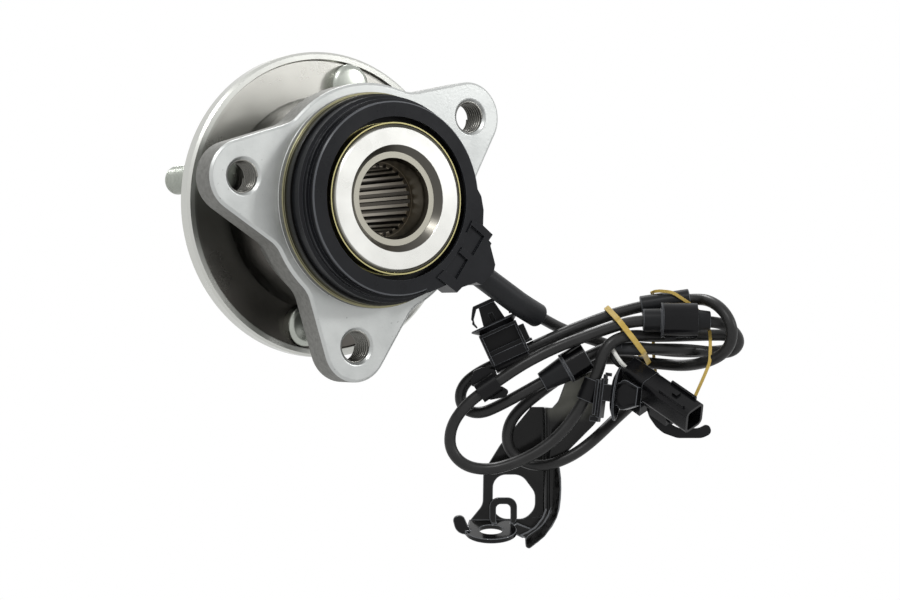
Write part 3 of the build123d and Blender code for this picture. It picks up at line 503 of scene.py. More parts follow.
def lathe(profile, steps=64):
    """Mesh turned about the Y axis; profile is closed (radius, y) in mm."""
    shape = bmesh.new()
    turns = [2 * math.pi * step / steps for step in range(steps)]
    rings = [
        [
            shape.verts.new((radius * math.cos(turn) * MM, y * MM, radius * math.sin(turn) * MM))
            for turn in turns
        ]
        for radius, y in profile
    ]
    join_rings(shape, rings + rings[:1])
    bmesh.ops.remove_doubles(shape, verts=shape.verts, dist=0.001 * MM)
    return outward_mesh("turned", shape, 30.0)


def points_mesh(name, places):
    """Mesh of loose points."""
    mesh = bpy.data.meshes.new(name)
    mesh.from_pydata(places, [], [])
    return mesh


def piece_from_tree(name, mesh, tree, values):
    """Runs a Geometry Nodes tree on a mesh and returns the result as a plain piece."""
    piece = new_piece(name, mesh)
    modifier = piece.modifiers.new("made", "NODES")
    modifier.node_group = tree
    for item in tree.interface.items_tree:
        if item.item_type == "SOCKET" and item.in_out == "INPUT" and item.name in values:
            modifier[item.identifier] = values[item.name]
    return apply_modifiers(piece)


def new_geometry_tree(name, inputs):
    """Geometry Nodes tree with named inputs; returns the tree with its input and output nodes."""
    tree = bpy.data.node_groups.new(name, "GeometryNodeTree")
    tree.interface.new_socket("Geometry", in_out="INPUT", socket_type="NodeSocketGeometry")
    for title, (kind, value) in inputs.items():
        socket = tree.interface.new_socket(title, in_out="INPUT", socket_type=kind)
        if value is not None:
            socket.default_value = value
    tree.interface.new_socket("Geometry", in_out="OUTPUT", socket_type="NodeSocketGeometry")
    return tree, tree.nodes.new("NodeGroupInput"), tree.nodes.new("NodeGroupOutput")


def finish_copies(tree, copies, given, result):
    """Ends a tree: its copies become real and take the incoming finish."""
    real = add_node(tree, "GeometryNodeRealizeInstances", links={"Geometry": copies.outputs[0]})
    finish = add_node(
        tree, "GeometryNodeSetMaterial",
        links={"Geometry": real.outputs[0], "Material": given.outputs["Finish"]},
    )
    tree.links.new(finish.outputs[0], result.inputs["Geometry"])
    return tree


def copies_round_axis_tree():
    """Tree that sets copies of the incoming mesh on a circle about the spin axis."""
    tree, given, result = new_geometry_tree("copies_round_axis", {
        "Count": ("NodeSocketInt", STUD_COUNT), "Radius": ("NodeSocketFloat", STUD_CIRCLE * MM),
        "Phase": ("NodeSocketFloat", 0.0), "Finish": ("NodeSocketMaterial", None),
    })
    circle = add_node(
        tree, "GeometryNodeMeshCircle", {"fill_type": "NONE"},
        links={"Vertices": given.outputs["Count"], "Radius": given.outputs["Radius"]},
    )
    phase = add_node(tree, "ShaderNodeCombineXYZ", links={"Z": given.outputs["Phase"]})
    turned = add_node(
        tree, "GeometryNodeTransform", links={"Geometry": circle.outputs["Mesh"], "Rotation": phase.outputs[0]},
    )
    upright = add_node(
        tree, "GeometryNodeTransform", inputs={"Rotation": (math.radians(90), 0, 0)},
        links={"Geometry": turned.outputs[0]},
    )
    copies = add_node(
        tree, "GeometryNodeInstanceOnPoints",
        links={"Points": upright.outputs[0], "Instance": given.outputs["Geometry"]},
    )
    return finish_copies(tree, copies, given, result)


def thread_ridge_tree():
    """Tree that winds a rounded ridge about each incoming point, along Y."""
    tree, given, result = new_geometry_tree("thread_ridge", {
        "Radius": ("NodeSocketFloat", EAR_THREAD_RADIUS * MM), "Ridge": ("NodeSocketFloat", EAR_RIDGE * MM),
        "Turns": ("NodeSocketFloat", 8.0), "Length": ("NodeSocketFloat", EAR_THREAD_LENGTH * MM),
        "Finish": ("NodeSocketMaterial", None),
    })
    helix = add_node(
        tree, "GeometryNodeCurveSpiral", inputs={"Resolution": 40},
        links={
            "Rotations": given.outputs["Turns"], "Start Radius": given.outputs["Radius"],
            "End Radius": given.outputs["Radius"], "Height": given.outputs["Length"],
        },
    )
    section = add_node(
        tree, "GeometryNodeCurvePrimitiveCircle", inputs={"Resolution": 12},
        links={"Radius": given.outputs["Ridge"]},
    )
    wound = add_node(
        tree, "GeometryNodeCurveToMesh", inputs={"Fill Caps": True},
        links={"Curve": helix.outputs[0], "Profile Curve": section.outputs["Curve"]},
    )
    laid = add_node(
        tree, "GeometryNodeTransform", inputs={"Rotation": (math.radians(-90), 0, 0)},
        links={"Geometry": wound.outputs[0]},
    )
    copies = add_node(
        tree, "GeometryNodeInstanceOnPoints",
        links={"Points": given.outputs["Geometry"], "Instance": laid.outputs[0]},
    )
    return finish_copies(tree, copies, given, result)


def wound_threads(name, places, radius_mm, ridge_mm, length_mm, pitch, finish):
    """Threads of one size that start at each place and run along Y."""
    length = length_mm * MM
    return piece_from_tree(name, points_mesh(f"{name}_starts", places), thread_ridge_tree(), {
        "Radius": radius_mm * MM, "Ridge": ridge_mm * MM, "Turns": length / pitch, "Length": length,
        "Finish": finish,
    })


def block(left, bottom, right, top):
    """Outline of a rectangle."""
    return [(left, bottom), (right, bottom), (right, top), (left, top)]


def mirrored(outline):
    """Outline turned over its own middle line."""
    return [(-x, y) for x, y in reversed(outline)]


def fitting_frame(seat, along, head):
    """Seat and three directions of a fitting: along the lead, towards its head, and across both."""
    along, head = Vector(along).normalized(), Vector(head).normalized()
    return Vector(seat), along, head, along.cross(head)


def add_slab(shape, place, outline, low, high):
    """Adds a flat slab, from its outline in a fitting's plane and its two levels."""
    seat, along, head, across = place
    rings = [
        [shape.verts.new(lead_point(*(seat + along * x + head * y + across * level))) for x, y in outline]
        for level in (low, high)
    ]
    for ring in rings:
        shape.faces.new(ring)
    join_rings(shape, rings)


def add_ring(shape, seat, axis, sides, profile, steps=48):
    """Adds a ring about an axis, oval if its sides differ; profile is closed (radius, height)."""
    rings = []
    for radius, height in profile:
        ring = []
        for step in range(steps):
            angle = 2 * math.pi * step / steps
            reach = sides[0] * math.cos(angle) + sides[1] * math.sin(angle)
            ring.append(shape.verts.new(lead_point(*(seat + axis * height + reach * radius))))
        rings.append(ring)
    join_rings(shape, rings + rings[:1])


def moulded_piece(name, shape, edge_mm):
    """Piece of a fitting with slightly rounded edges."""
    return rounded_edges(new_piece(name, outward_mesh(name, shape, CRISP_EDGE)), edge_mm)


def upper_clip(edge_mm):
    """Box clip with an open pocket, a dished plate and an arrow head with a slotted post and two wings."""
    shape = bmesh.new()
    slope, rise = math.cos(UPPER_CLIP_TILT), math.sin(UPPER_CLIP_TILT)
    place = fitting_frame((-36.5, 17, 0), (slope, rise, 0), (-rise, slope, 0))
    seat, along, head, across = place
    wing = [
        (-5.3, 25.0), (-6.2, 23.8), (-8.2, 20.4), (-7.9, 19.6), (-8.6, 18.6), (-7.6, 16.2), (-7.0, 16.4),
        (-7.5, 18.4), (-7.2, 20.0), (-4.3, 23.6),
    ]
    post = [
        (-4.9, 14.8), (-0.8, 14.8), (-0.8, 19.6), (0.8, 19.6), (0.8, 14.8), (4.9, 14.8), (3.4, 23.6),
        (-3.4, 23.6),
    ]
    for outline, low, high in (
        # pocket: front wall, top wall and two ends
        (block(-8.0, 2.7, 8.0, 12.8), -5.2, -1.5), (block(-8.2, 11.6, 8.2, 13.0), -5.2, 5.2),
        (block(-8.2, 2.7, -7.0, 12.0), -5.2, 5.2), (block(7.0, 2.7, 8.2, 12.0), -5.2, 5.2),
        # jaws and the bars between them
        (block(-8.2, -0.6, -7.0, 3.0), 2.7, 5.2), (block(7.0, -0.6, 8.2, 3.0), 2.7, 5.2),
        (block(-7.2, 2.7, 7.2, 5.4), -5.2, 2.6), (block(-7.2, -0.6, 7.2, 3.6), 2.7, 4.2),
        # side catch
        (block(8.0, 3.2, 10.6, 10.4), -4.2, 1.2), (block(8.0, 2.7, 11.2, 3.8), -4.2, 3.2),
        # neck, slotted post, cap and wings
        (block(-3.2, 12.8, 3.2, 15.2), -3.0, 3.0), (post, -2.4, 1.6),
        (block(-1.0, 14.8, 1.0, 20.0), -2.4, -0.8),
        (block(-5.4, 23.4, 5.4, 25.0), -3.0, 3.0), (wing, -3.0, 3.0), (mirrored(wing), -3.0, 3.0),
    ):
        add_slab(shape, place, outline, low, high)
    saddle = [(2.7, -7.5), (2.7, 7.5), (4.0, 7.5), (4.0, -7.5)]
    add_ring(shape, seat, along, (head, across), saddle)
    dish = [(1.5, 12.8), (7.4, 12.9), (10.4, 15.2), (10.0, 15.9), (6.9, 13.9), (1.5, 13.9)]
    add_ring(shape, seat, head, (along, across * 0.75), dish)
    return moulded_piece("upper_clip", shape, edge_mm)


def right_clip(edge_mm):
    """Clip with two upright plates, an oval dish and a barrel head of two wings and a middle rib."""
    shape = bmesh.new()
    place = fitting_frame((-4.7, 3.8, 7.6), (0.122, 0.9925, 0.0), (0.933, -0.115, 0.34))
    seat, along, head, across = place
    wing = [
        (2.2, 11.3), (5.6, 13.7), (6.1, 14.9), (5.9, 15.9), (3.8, 20.7), (2.4, 19.7), (4.2, 15.5), (4.0, 14.6),
        (1.4, 12.5),
    ]
    barrel = [(-4.6, 11.9), (4.6, 11.9), (5.0, 15.1), (3.4, 20.1), (-3.4, 20.1), (-5.0, 15.1)]
    for outline, low, high in (
        # two plates, the bar between them and their catches
        (block(-9.5, 3.0, 4.8, 4.4), -3.2, 3.4), (block(-10.5, 5.1, 5.6, 6.5), -3.0, 3.2),
        (block(-8.0, 4.2, 3.5, 5.3), -2.2, 2.0), (block(-12.2, 1.8, -10.0, 5.6), -1.5, 2.2),
        (block(5.4, 5.0, 7.2, 6.4), 0.2, 2.4), (block(6.6, 5.6, 8.0, 8.2), 0.4, 1.8),
        # neck, middle rib, barrel, cap and wings
        (block(-3.4, 6.3, 3.4, 10.5), -3.0, 3.0), (block(-0.6, 10.7, 0.6, 20.3), -2.8, 2.2),
        (barrel, -3.0, -2.2),
        (block(-3.8, 19.5, 3.8, 20.7), -3.0, 3.0), (wing, -3.0, 3.0), (mirrored(wing), -3.0, 3.0),
    ):
        add_slab(shape, place, outline, low, high)
    lead_way = Vector((0.383, 0.924, 0.0))
    outward = Vector((0.783, -0.325, 0.530))
    saddle = [(2.7, -4.5), (2.7, 4.5), (3.8, 4.5), (3.8, -4.5)]
    add_ring(shape, seat, lead_way, (outward, lead_way.cross(outward)), saddle)
    dish = [(1.5, 9.7), (7.2, 9.8), (11.0, 11.4), (10.8, 12.2), (6.8, 10.7), (1.5, 10.7)]
    add_ring(shape, seat, head, (along, across * 0.5), dish)
    return moulded_piece("right_clip", shape, edge_mm)


def rounded_loop(route, reach=1.6):
    """Closed route whose corners are rounded within a reach of each corner."""
    corners = [Vector(place) for place in route]
    points = []
    for before, corner, after in zip(corners[-1:] + corners[:-1], corners, corners[1:] + corners[:1]):
        start = corner + (before - corner) * min(0.5, reach / (before - corner).length)
        end = corner + (after - corner) * min(0.5, reach / (after - corner).length)
        points += [start, (start + end) / 4 + corner / 2, end]
    return points


def add_band(shape, route, width, thickness):
    """Adds a flat closed band whose broad side looks to the front of the lead's plane where it can."""
    points = rounded_loop(route)
    side = Vector((1, 0, 0))
    rings = []
    for step, point in enumerate(points):
        way = (points[(step + 1) % len(points)] - points[step - 1]).normalized()
        turned = way.cross(Vector((0, 0, 1)))
        if turned.length > 0.5:
            side = turned.normalized() if turned.dot(side) >= 0 else -turned.normalized()
        out = side.cross(way).normalized() * thickness / 2
        half = side * width / 2
        rings.append([
            shape.verts.new(lead_point(*(point + reach)))
            for reach in (half + out, half - out, -half - out, out - half)
        ])
    join_rings(shape, rings + rings[:1])


def round_curve(name, route, diameter, roundness):
    """Round cord on one smooth curve through the lead's plane; diameter is in metres."""
    curve = bpy.data.curves.new(name, "CURVE")
    curve.dimensions = "3D"
    curve.bevel_depth = diameter / 2
    curve.bevel_resolution = roundness
    curve.use_fill_caps = True
    spline = curve.splines.new("NURBS")
    spline.points.add(len(route) - 1)
    for point, place in zip(spline.points, route):
        point.co = (*lead_point(*place), 1.0)
    spline.order_u = 3
    spline.use_endpoint_u = True
    return curve


def pale_wire():
    """Short bare stretch of the white wire, as a plain mesh."""
    route = [
        (4.0, 21.8, 4.0), (4.6, 20.4, 6.6), (5.7, 18.4, 8.0), (7.1, 16.2, 8.3), (8.8, 14.0, 7.4),
        (10.4, 12.9, 5.6),
    ]
    drawn = new_piece("pale_wire", round_curve("pale_wire", route, 1.8 * MM, roundness=5))
    mesh = plain_mesh(drawn)
    bpy.data.objects.remove(drawn)
    mesh.shade_smooth()
    return new_piece("pale_wire", mesh)


def wide_band():
    """Stretched latex band, narrower than its box and drawn in behind the plug."""
    piece = softened_copy("rubber_band_wide", "wide_band", 0.15)
    centre = Vector((11.0, 27.0, 0.0))
    across = Vector((0.616, -0.788, 0.0))
    along = Vector((-0.788, -0.616, 0.0))
    # Past drawn_from the band is pulled in; everywhere it is narrowed.
    drawn_from, drawn_share, width_share = 8.7, 0.62, 0.75
    for vertex in piece.data.vertices:
        offset = (vertex.co - lead_point(*centre)) / MM
        local = Vector((offset.dot(LEAD_RIGHT), offset.z, offset.dot(LEAD_FRONT)))
        reach = local.dot(across)
        if reach > drawn_from:
            reach = drawn_from + (reach - drawn_from) * drawn_share
        level = Vector((0.0, 0.0, local.z))
        vertex.co = lead_point(*(centre + across * reach + along * local.dot(along) * width_share + level))
    return piece


def thin_band():
    """Thin latex band round the strands, its back strand hidden behind them."""
    shape = bmesh.new()
    route = [
        (21.8, 43.6, -6.2), (24.5, 44.1, -3.5), (29.6, 43.5, -0.2), (35.0, 39.9, 0.9), (39.8, 36.6, -1.2),
        (43.6, 31.5, -1.6), (44.9, 27.0, 0.6), (44.5, 21.0, 4.6), (43.9, 15.0, 7.8), (41.3, 8.6, 7.0),
        (37.0, -1.4, 5.4), (31.0, -2.0, -5.0), (24.5, 7.0, -15.0), (23.5, 19.5, -18.6), (23.4, 41.0, -10.4),
        (22.0, 43.4, -7.8),
    ]
    add_band(shape, route, width=1.3, thickness=0.6)
    return moulded_piece("thin_band", shape, 0.1)


def bracket_bend():
    """Smooth outer edge of the bracket's strip, wide tail and the bend that joins the tail to the plate."""
    shape = bmesh.new()
    place = fitting_frame((0, 0, 0), (1, 0, 0), (0, 1, 0))
    back, front = STRIP_LEVELS
    edge = [
        (-17.2, -25.4), (-16.1, -28.5), (-15.6, -32.5), (-15.5, -36.8), (-15.7, -41.0), (-16.2, -45.0),
        (-17.3, -48.6), (-19.2, -52.2), (-21.8, -55.5), (-25.0, -58.6), (-28.8, -61.1), (-30.2, -59.8),
        (-30.4, -57.0), (-26.5, -54.2), (-23.2, -51.0), (-21.2, -47.5), (-20.2, -43.5), (-19.6, -36.0),
        (-19.6, -27.4),
    ]
    web = [
        (-32.6, -55.6), (-30.0, -57.4), (-24.0, -52.6), (-20.6, -48.4), (-19.4, -44.0), (-21.4, -43.6),
        (-23.4, -48.6), (-26.4, -52.4), (-29.6, -54.4),
    ]
    foot = [(-38.0, -52.9), (-36.6, -54.6), (-31.4, -57.2), (-29.0, -57.0), (-27.6, -53.2), (-33.6, -51.0)]
    for outline, low, high in (
        (edge, back, front), (web, back - 6.0, front - 0.8), (foot, back - 5.4, back - 1.2),
    ):
        add_slab(shape, place, outline, low, high)
    return moulded_piece("bracket_bend", shape, 0.6)


class HubFinishes(bpy.types.PropertyGroup):
    """Colours of the hub's steel, plastic and rubber."""

    ring_steel: bpy.props.StringProperty(
        name="Ring steel", description="Colour of the forged outer ring", default="#CDCFCD",
    )
    flange_steel: bpy.props.StringProperty(
        name="Flange steel", description="Colour of the turned wheel flange", default="#C2C3BE",
    )
    race_steel: bpy.props.StringProperty(
        name="Race steel", description="Colour of the ground inner ring", default="#EDEDE9",
    )
    stud_zinc: bpy.props.StringProperty(
        name="Stud zinc", description="Colour of the plated wheel studs", default="#C0C4BC",
    )
    sensor_nylon: bpy.props.StringProperty(
        name="Sensor nylon", description="Colour of the sensor ring and head", default="#141518",
    )
    fitting_nylon: bpy.props.StringProperty(
        name="Fitting nylon", description="Colour of the clips on the lead", default="#0A0A0C",
    )
    sheet_coat: bpy.props.StringProperty(
        name="Sheet coat", description="Colour of the coated cable bracket", default="#08080A",
    )


class LeadSizes(bpy.types.PropertyGroup):
    """Thickness and colours of the sensor lead and its bands."""

    diameter: bpy.props.FloatProperty(
        name="Diameter", description="Thickness of the lead", default=0.0047, unit="LENGTH",
    )
    sheath: bpy.props.StringProperty(
        name="Sheath", description="Colour of the rubber sheath", default="#161616",
    )
    bloom: bpy.props.StringProperty(name="Bloom", description="Dusty colour on the rubber", default="#303030")
    band: bpy.props.StringProperty(name="Band", description="Colour of the latex bands", default="#D9BE6A")


class EdgeSizes(bpy.types.PropertyGroup):
    """Roundness of machined and moulded edges, and the threads."""

    steel_edge: bpy.props.FloatProperty(
        name="Steel edge", description="Rounding of steel edges in mm", default=0.25,
    )
    ring_edge: bpy.props.FloatProperty(
        name="Ring edge", description="Rounding of the sensor ring's steps in mm", default=0.45,
    )
    plastic_edge: bpy.props.FloatProperty(
        name="Plastic edge", description="Rounding of plastic edges in mm", default=0.25,
    )
    sheet_edge: bpy.props.FloatProperty(
        name="Sheet edge", description="Rounding of pressed sheet edges in mm", default=0.3,
    )
    ear_pitch: bpy.props.FloatProperty(
        name="Ear thread pitch", description="Distance between ear threads", default=0.0015, unit="LENGTH",
    )
    stud_pitch: bpy.props.FloatProperty(
        name="Stud thread pitch", description="Distance between stud threads", default=0.00125, unit="LENGTH",
    )


class HUB_OT_outer_ring(bpy.types.Operator):
    """Forged outer ring with its threaded ears"""

    bl_idname = "hub.outer_ring"
    bl_label = "Outer Ring"

    def execute(self, context):
        edges = context.scene.hub_edges
        steel = forged_ring_steel(context.scene.hub_finishes.ring_steel, "#A3A6A5")
        ring = softened_copy("outer_ring", "ring_with_ears", edges.steel_edge)
        mark_walls(ring.data)
        finished(ring, steel, "stationary", "outer_ring", slot="forged_steel")
        # Cut thread: darker than the milled face, with bright flanks.
        cut = worn_surface(
            "tapped_steel", ("#6B6A66", "#8E8D88"),
            cloud_mm=2.0, metallic=1.0, roughness=0.34, grain_mm=0.3, depth_mm=0.01,
        )[0]
        starts = [
            (EAR_CIRCLE * MM * math.cos(turn), EAR_THREAD_START * MM, EAR_CIRCLE * MM * math.sin(turn))
            for turn in map(math.radians, THREADED_EARS)
        ]
        threads = wound_threads(
            "ear_threads", starts, EAR_THREAD_RADIUS, EAR_RIDGE, EAR_THREAD_LENGTH, edges.ear_pitch, cut,
        )
        finished(threads, cut, "stationary", slot="forged_steel")
        return {"FINISHED"}


class HUB_OT_wheel_flange(bpy.types.Operator):
    """Turned wheel flange with its splined spindle, inner ring and seals"""

    bl_idname = "hub.wheel_flange"
    bl_label = "Wheel Flange"

    def execute(self, context):
        finishes = context.scene.hub_finishes
        edges = context.scene.hub_edges
        flange = softened_copy("hub_flange", "wheel_flange", edges.steel_edge * 0.6)
        turned = turned_flange_steel(finishes.flange_steel, "#A3A39D")
        finished(flange, turned, "hub", "hub_flange", slot="machined_steel")
        race = softened_copy("inner_ring", "pressed_race", 0)
        ground = ground_race_steel(finishes.race_steel, "#CFCFCA")
        finished(race, ground, "hub", "inner_ring", slot="bearing_steel")
        slinger = softened_copy("encoder_slinger", "slinger", 0)
        finished(slinger, stamped_slinger_steel(), "hub", "encoder_slinger", slot="zinc_steel")
        # Seal lips and magnet ring: dull black rubber.
        rubber = black_moulding("moulded_seal_rubber", "#131314", 0.45)
        for node, name, body in (
            ("encoder_magnet", "magnet_ring", "hub"), ("seal_inboard", "inner_seal", "stationary"),
            ("seal_outboard", "outer_seal", "stationary"),
        ):
            finished(softened_copy(node, name, 0), rubber, body, node, slot="black_rubber")
        return {"FINISHED"}


class HUB_OT_rolling_parts(bpy.types.Operator):
    """Balls and their cages between the rings"""

    bl_idname = "hub.rolling_parts"
    bl_label = "Rolling Parts"

    def execute(self, context):
        # Lapped balls: mirror bright.
        polished = worn_surface(
            "polished_ball_steel", ("#CBCDCE", "#D8DADB"),
            cloud_mm=4.0, metallic=1.0, roughness=0.08, grain_mm=0.5, depth_mm=0.001,
        )[0]
        # Cages: satin brown nylon.
        nylon = black_moulding("cage_nylon", "#3A352C", 0.45)
        for row in ("inboard", "outboard"):
            for part, material in (("balls", polished), ("cage", nylon)):
                set_finish(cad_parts[f"{part}_{row}"], material)
        return {"FINISHED"}


class HUB_OT_wheel_studs(bpy.types.Operator):
    """Four plated wheel studs with rolled threads"""

    bl_idname = "hub.wheel_studs"
    bl_label = "Wheel Studs"

    def execute(self, context):
        # Zinc plate: soft silver with a faint green-grey cast.
        zinc = worn_surface(
            "zinc_plated_steel", ("#8F938C", context.scene.hub_finishes.stud_zinc),
            cloud_mm=5.0, metallic=1.0, roughness=0.3, grain_mm=0.4, depth_mm=0.02,
        )[0]
        low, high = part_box("wheel_studs")
        head, tip = low[1] / MM, high[1] / MM
        stud = lathe([
            # domed head
            (0, head), (6.2, head), (6.9, head + 0.25), (8.0, head + 1.0), (8.35, head + 1.7),
            (8.5, head + 2.6), (8.5, STUD_SEAT),
            # pressed collar and neck
            (6.5, STUD_SEAT), (6.5, STUD_COLLAR_END), (6.0, STUD_COLLAR_END), (6.0, STUD_NECK_END),
            # core under the thread, and a tapered lead-in
            (STUD_CORE, STUD_CORE_START), (STUD_CORE, tip - 3.2), (4.6, tip - 0.8), (4.2, tip), (0, tip),
        ])
        ridge = wound_threads(
            "stud_ridge", [(0, STUD_THREAD_START * MM, 0)], STUD_THREAD_RADIUS, STUD_RIDGE,
            tip - STUD_THREAD_START - STUD_THREAD_RUNOUT, context.scene.hub_edges.stud_pitch, zinc,
        )
        joined = bmesh.new()
        joined.from_mesh(stud)
        joined.from_mesh(ridge.data)
        joined.to_mesh(stud)
        joined.free()
        bpy.data.objects.remove(ridge)
        studs = piece_from_tree("threaded_studs", stud, copies_round_axis_tree(), {
            "Count": STUD_COUNT, "Radius": STUD_CIRCLE * MM, "Phase": STUD_PHASE, "Finish": zinc,
        })
        smooth_by_angle(studs.data, 35.0)
        finished(studs, zinc, "hub", "wheel_studs", slot="zinc_steel")
        return {"FINISHED"}


class HUB_OT_speed_sensor(bpy.types.Operator):
    """Sensor ring, sensor head and the moulded sleeve of the lead"""

    bl_idname = "hub.speed_sensor"
    bl_label = "Speed Sensor"

    def execute(self, context):
        edges = context.scene.hub_edges
        # Glass-filled nylon: even satin black, with a crisp pale line of painted highlight at each step.
        nylon = black_moulding("glass_filled_nylon", context.scene.hub_finishes.sensor_nylon, 0.3)
        ring = softened_copy("sensor_ring", "sensor_cap_ring", edges.ring_edge)
        mark_slopes(ring.data)
        finished(ring, nylon, "stationary", "sensor_ring", slot="black_plastic")
        head = softened_copy("sensor_head", "sensor_block", edges.plastic_edge)
        finished(head, nylon, "stationary", "sensor_head", slot="black_plastic")
        sleeve = softened_copy("sensor_sleeve", "lead_sleeve", edges.plastic_edge)
        # Sleeve: greyer and duller than the sensor.
        rubber = black_moulding("sleeve_rubber", "#1B1C1E", 0.42)
        finished(sleeve, rubber, "stationary", "sensor_sleeve", slot="black_rubber")
        return {"FINISHED"}


class HUB_OT_lead_fittings(bpy.types.Operator):
    """Bracket, grommets, clamp, clips, connector, tape and bands on the lead"""

    bl_idname = "hub.lead_fittings"
    bl_label = "Lead Fittings"

    def execute(self, context):
        finishes = context.scene.hub_finishes
        edges = context.scene.hub_edges
        lead = context.scene.hub_lead
        sheet = coated_sheet(finishes.sheet_coat)
        # Clips: deep satin black.
        nylon = black_moulding("clip_nylon", finishes.fitting_nylon, 0.32)
        # Connector: the smoothest and shiniest of the mouldings.
        shell = black_moulding("connector_polyester", "#0C0C0E", 0.22)
        # Grommets and protector: soft dark grey.
        rubber = black_moulding("grommet_rubber", "#17181A", 0.36)
        # Rolled clamp and hook: glossy black paint.
        clamp = black_moulding("painted_clamp_steel", "#0D0D0F", 0.2)
        # Tape: paler than the lead, with a low sheen.
        wrap = black_moulding("vinyl_tape", "#2B2C2E", 0.35)
        # White wire: clean and slightly warm.
        white = worn_surface(
            "white_wire_sheath", ("#DCDCD8", "#F0F0EC"),
            cloud_mm=3.0, metallic=0.0, roughness=0.35, grain_mm=0.3, depth_mm=0.01,
        )[0]
        # Contact pins: pale brassy glints in the plug's mouth.
        brass = worn_surface(
            "tinned_brass", ("#B5A678", "#C8B98C"),
            cloud_mm=2.0, metallic=1.0, roughness=0.3, grain_mm=0.2, depth_mm=0.01,
        )[0]
        # Rubber bands: matt amber, browner in patches.
        latex = worn_surface(
            "latex_band", ("#B8973C", lead.band),
            cloud_mm=1.5, metallic=0.0, roughness=0.4, grain_mm=0.5, depth_mm=0.03,
        )[0]
        for node, name, material, edge, slot in (
            ("cable_bracket", "pressed_bracket", sheet, edges.sheet_edge, "black_steel"),
            ("connector_hook", "hook_plate", clamp, edges.plastic_edge, "black_steel"),
            ("grommet_clamp", "clamp_sleeve", clamp, 0.2, "black_steel"),
            ("grommet_lower", "lower_grommet", rubber, 0.3, "black_rubber"),
            ("grommet_upper", "upper_grommet", rubber, 0.3, "black_rubber"),
            ("cable_protector", "protector_tube", rubber, 0.4, "black_rubber"),
            ("cable_tape", "tape_wrap", wrap, 0.3, "black_rubber"),
            ("clip_left", "left_clip", nylon, edges.plastic_edge, "black_plastic"),
            ("connector_shell", "plug_shell", shell, edges.plastic_edge * 2, "black_plastic"),
            ("connector_cap", "plug_cap", shell, edges.plastic_edge * 2, "black_plastic"),
            ("connector_pins", "plug_pins", brass, 0.1, "pin_metal"),
            ("wire_dark", "dark_wire", rubber, 0, "black_rubber"),
        ):
            # A clamped bevel would vanish on the bracket, whose sheet has very short edges.
            piece = softened_copy(node, name, edge, angle=60.0, clamp=node != "cable_bracket")
            finished(piece, material, "stationary", node, slot=slot)
        for node, make in (("clip_upper", upper_clip), ("clip_right", right_clip)):
            piece = make(edges.plastic_edge)
            finished(piece, nylon, "stationary", node, slot="black_plastic")
        finished(bracket_bend(), sheet, "stationary", slot="black_steel")
        finished(pale_wire(), white, "stationary", "wire_white", slot="white_plastic")
        for node, make in (("rubber_band_wide", wide_band), ("rubber_band_thin", thin_band)):
            finished(make(), latex, "stationary", node, slot="band_rubber")
        return {"FINISHED"}


class HUB_OT_lead(bpy.types.Operator):
    """Sensor lead, one smooth cord from the sensor's sleeve to the taped end"""

    bl_idname = "hub.lead"
    bl_label = "Lead"

    def execute(self, context):
        sizes = context.scene.hub_lead
        curve = round_curve("sensor_cord", LEAD_ROUTE, sizes.diameter, roundness=6)
        curve.resolution_u = 10
        # Sheath: dull black rubber with a dusty grey bloom.
        sheath = worn_surface(
            "sheath_rubber", (sizes.sheath, sizes.bloom),
            cloud_mm=4.0, metallic=0.0, roughness=0.38, grain_mm=0.5, depth_mm=0.03, specular=0.26,
        )[0]
        finished(new_piece("sensor_cord", curve), sheath, "stationary", "sensor_lead", slot="black_rubber")
        return {"FINISHED"}


def direct_view(tree):
    """1 where a ray comes straight from the camera, a mirror or glass."""
    path = add_node(tree, "ShaderNodeLightPath")
    shiny = add_node(
        tree, "ShaderNodeMath", {"operation": "MAXIMUM"},
        links={0: path.outputs["Is Glossy Ray"], 1: path.outputs["Is Transmission Ray"]},
    )
    seen = add_node(
        tree, "ShaderNodeMath", {"operation": "MAXIMUM"},
        links={0: path.outputs["Is Camera Ray"], 1: shiny.outputs[0]},
    )
    return seen.outputs[0]


def seen_white(tree, shown, white, output):
    """Lets direct views see a white shader, and everything else the one that lights the hub."""
    blend = add_node(
        tree, "ShaderNodeMixShader", links={0: direct_view(tree), 1: shown.outputs[0], 2: white.outputs[0]},
    )
    tree.links.new(blend.outputs[0], tree.nodes[output].inputs["Surface"])


def paper_floor():
    """Wide matt floor that looks pure white."""
    half, level = FLOOR_HALF_WIDTH, FLOOR_LEVEL
    corners = [(-half, -half, level), (half, -half, level), (half, half, level), (-half, half, level)]
    mesh = bpy.data.meshes.new("floor")
    mesh.from_pydata(corners, [], [(0, 1, 2, 3)])
    floor = new_piece("floor", mesh)
    paper = bpy.data.materials.new("paper_floor")
    paper.use_nodes = True
    tree = paper.node_tree
    shader = tree.nodes["Principled BSDF"]
    shader.inputs["Base Color"].default_value = (1, 1, 1, 1)
    shader.inputs["Roughness"].default_value = 1.0
    glow = add_node(tree, "ShaderNodeEmission", inputs={"Color": (1, 1, 1, 1), "Strength": 1.0})
    seen_white(tree, shader, glow, "Material Output")
    set_finish(floor, paper)
    return floor


def studio_world():
    """Dim grey surroundings that look white in the view and in mirrors."""
    world = bpy.data.worlds.new("studio")
    world.use_nodes = True
    tree = world.node_tree
    background = tree.nodes["Background"]
    background.inputs["Color"].default_value = (0.82, 0.82, 0.81, 1)
    background.inputs["Strength"].default_value = 0.5
    white = add_node(tree, "ShaderNodeBackground", inputs={"Color": (1, 1, 1, 1), "Strength": 1.0})
    seen_white(tree, background, white, "World Output")
    return world


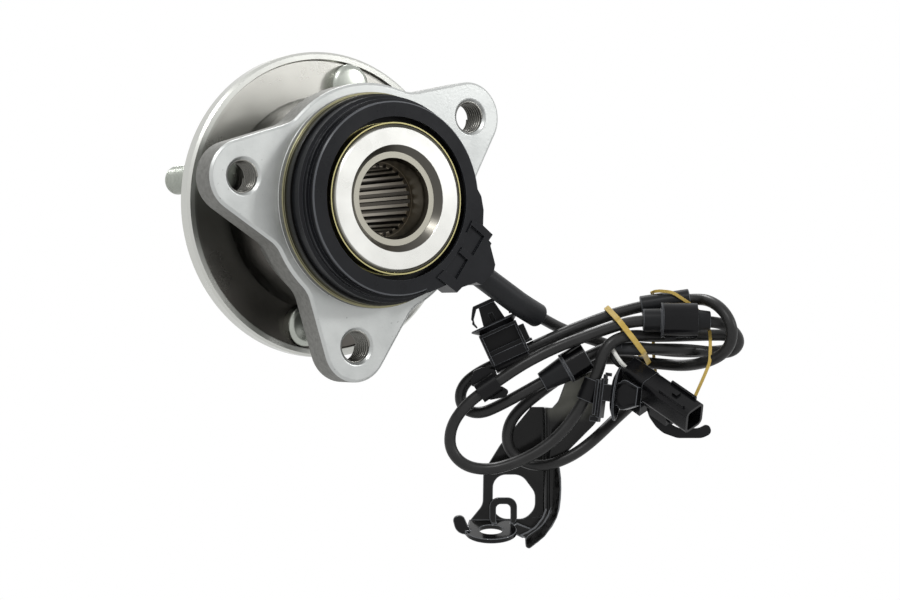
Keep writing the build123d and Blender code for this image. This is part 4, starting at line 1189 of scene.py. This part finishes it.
class HUB_OT_stage(bpy.types.Operator):
    """Floor, light and camera"""

    bl_idname = "hub.stage"
    bl_label = "Stage"

    def execute(self, context):
        scene = context.scene
        scene.view_settings.view_transform = "Standard"
        paper_floor()
        scene.world = studio_world()
        for name, place, size, power in LAMPS:
            lamp = bpy.data.lights.new(name, "AREA")
            lamp.size = size
            lamp.energy = power
            light = new_piece(name, lamp)
            light.location = place
            light.rotation_euler = (LAMP_AIM - Vector(place)).to_track_quat("-Z", "Y").to_euler()
        lens = bpy.data.cameras.new("camera")
        lens.lens = CAMERA_LENS
        lens.sensor_width = 36.0
        lens.clip_end = 100.0
        camera = new_piece("camera", lens)
        camera.location = CAMERA_PLACE
        camera.rotation_euler = [math.radians(turn) for turn in CAMERA_TURN]
        scene.camera = camera
        return {"FINISHED"}


class HUB_PT_parts(bpy.types.Panel):
    """Buttons that build the hub's parts"""

    bl_idname = "HUB_PT_parts"
    bl_label = "Wheel Hub Bearing"
    bl_space_type = "VIEW_3D"
    bl_region_type = "UI"
    bl_category = "Hub"

    def draw(self, context):
        for operator in OPERATORS:
            self.layout.operator(operator.bl_idname)
        for group in ("hub_finishes", "hub_edges", "hub_lead"):
            settings = getattr(context.scene, group)
            box = self.layout.box()
            for name in settings.__annotations__:
                box.prop(settings, name)


OPERATORS = (
    HUB_OT_stage, HUB_OT_lead, HUB_OT_outer_ring, HUB_OT_wheel_flange, HUB_OT_rolling_parts,
    HUB_OT_wheel_studs, HUB_OT_speed_sensor, HUB_OT_lead_fittings,
)
CLASSES = (HubFinishes, LeadSizes, EdgeSizes, *OPERATORS, HUB_PT_parts)


def register():
    for item in CLASSES:
        bpy.utils.register_class(item)
    bpy.types.Scene.hub_finishes = bpy.props.PointerProperty(type=HubFinishes)
    bpy.types.Scene.hub_lead = bpy.props.PointerProperty(type=LeadSizes)
    bpy.types.Scene.hub_edges = bpy.props.PointerProperty(type=EdgeSizes)


def unregister():
    del bpy.types.Scene.hub_edges
    del bpy.types.Scene.hub_lead
    del bpy.types.Scene.hub_finishes
    for item in reversed(CLASSES):
        bpy.utils.unregister_class(item)


def main():
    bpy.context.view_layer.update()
    register()
    bpy.ops.hub.stage()
    bpy.ops.hub.lead()
    bpy.ops.hub.outer_ring()
    bpy.ops.hub.wheel_flange()
    bpy.ops.hub.rolling_parts()
    bpy.ops.hub.wheel_studs()
    bpy.ops.hub.speed_sensor()
    bpy.ops.hub.lead_fittings()


if __name__ == "__main__":
    main()
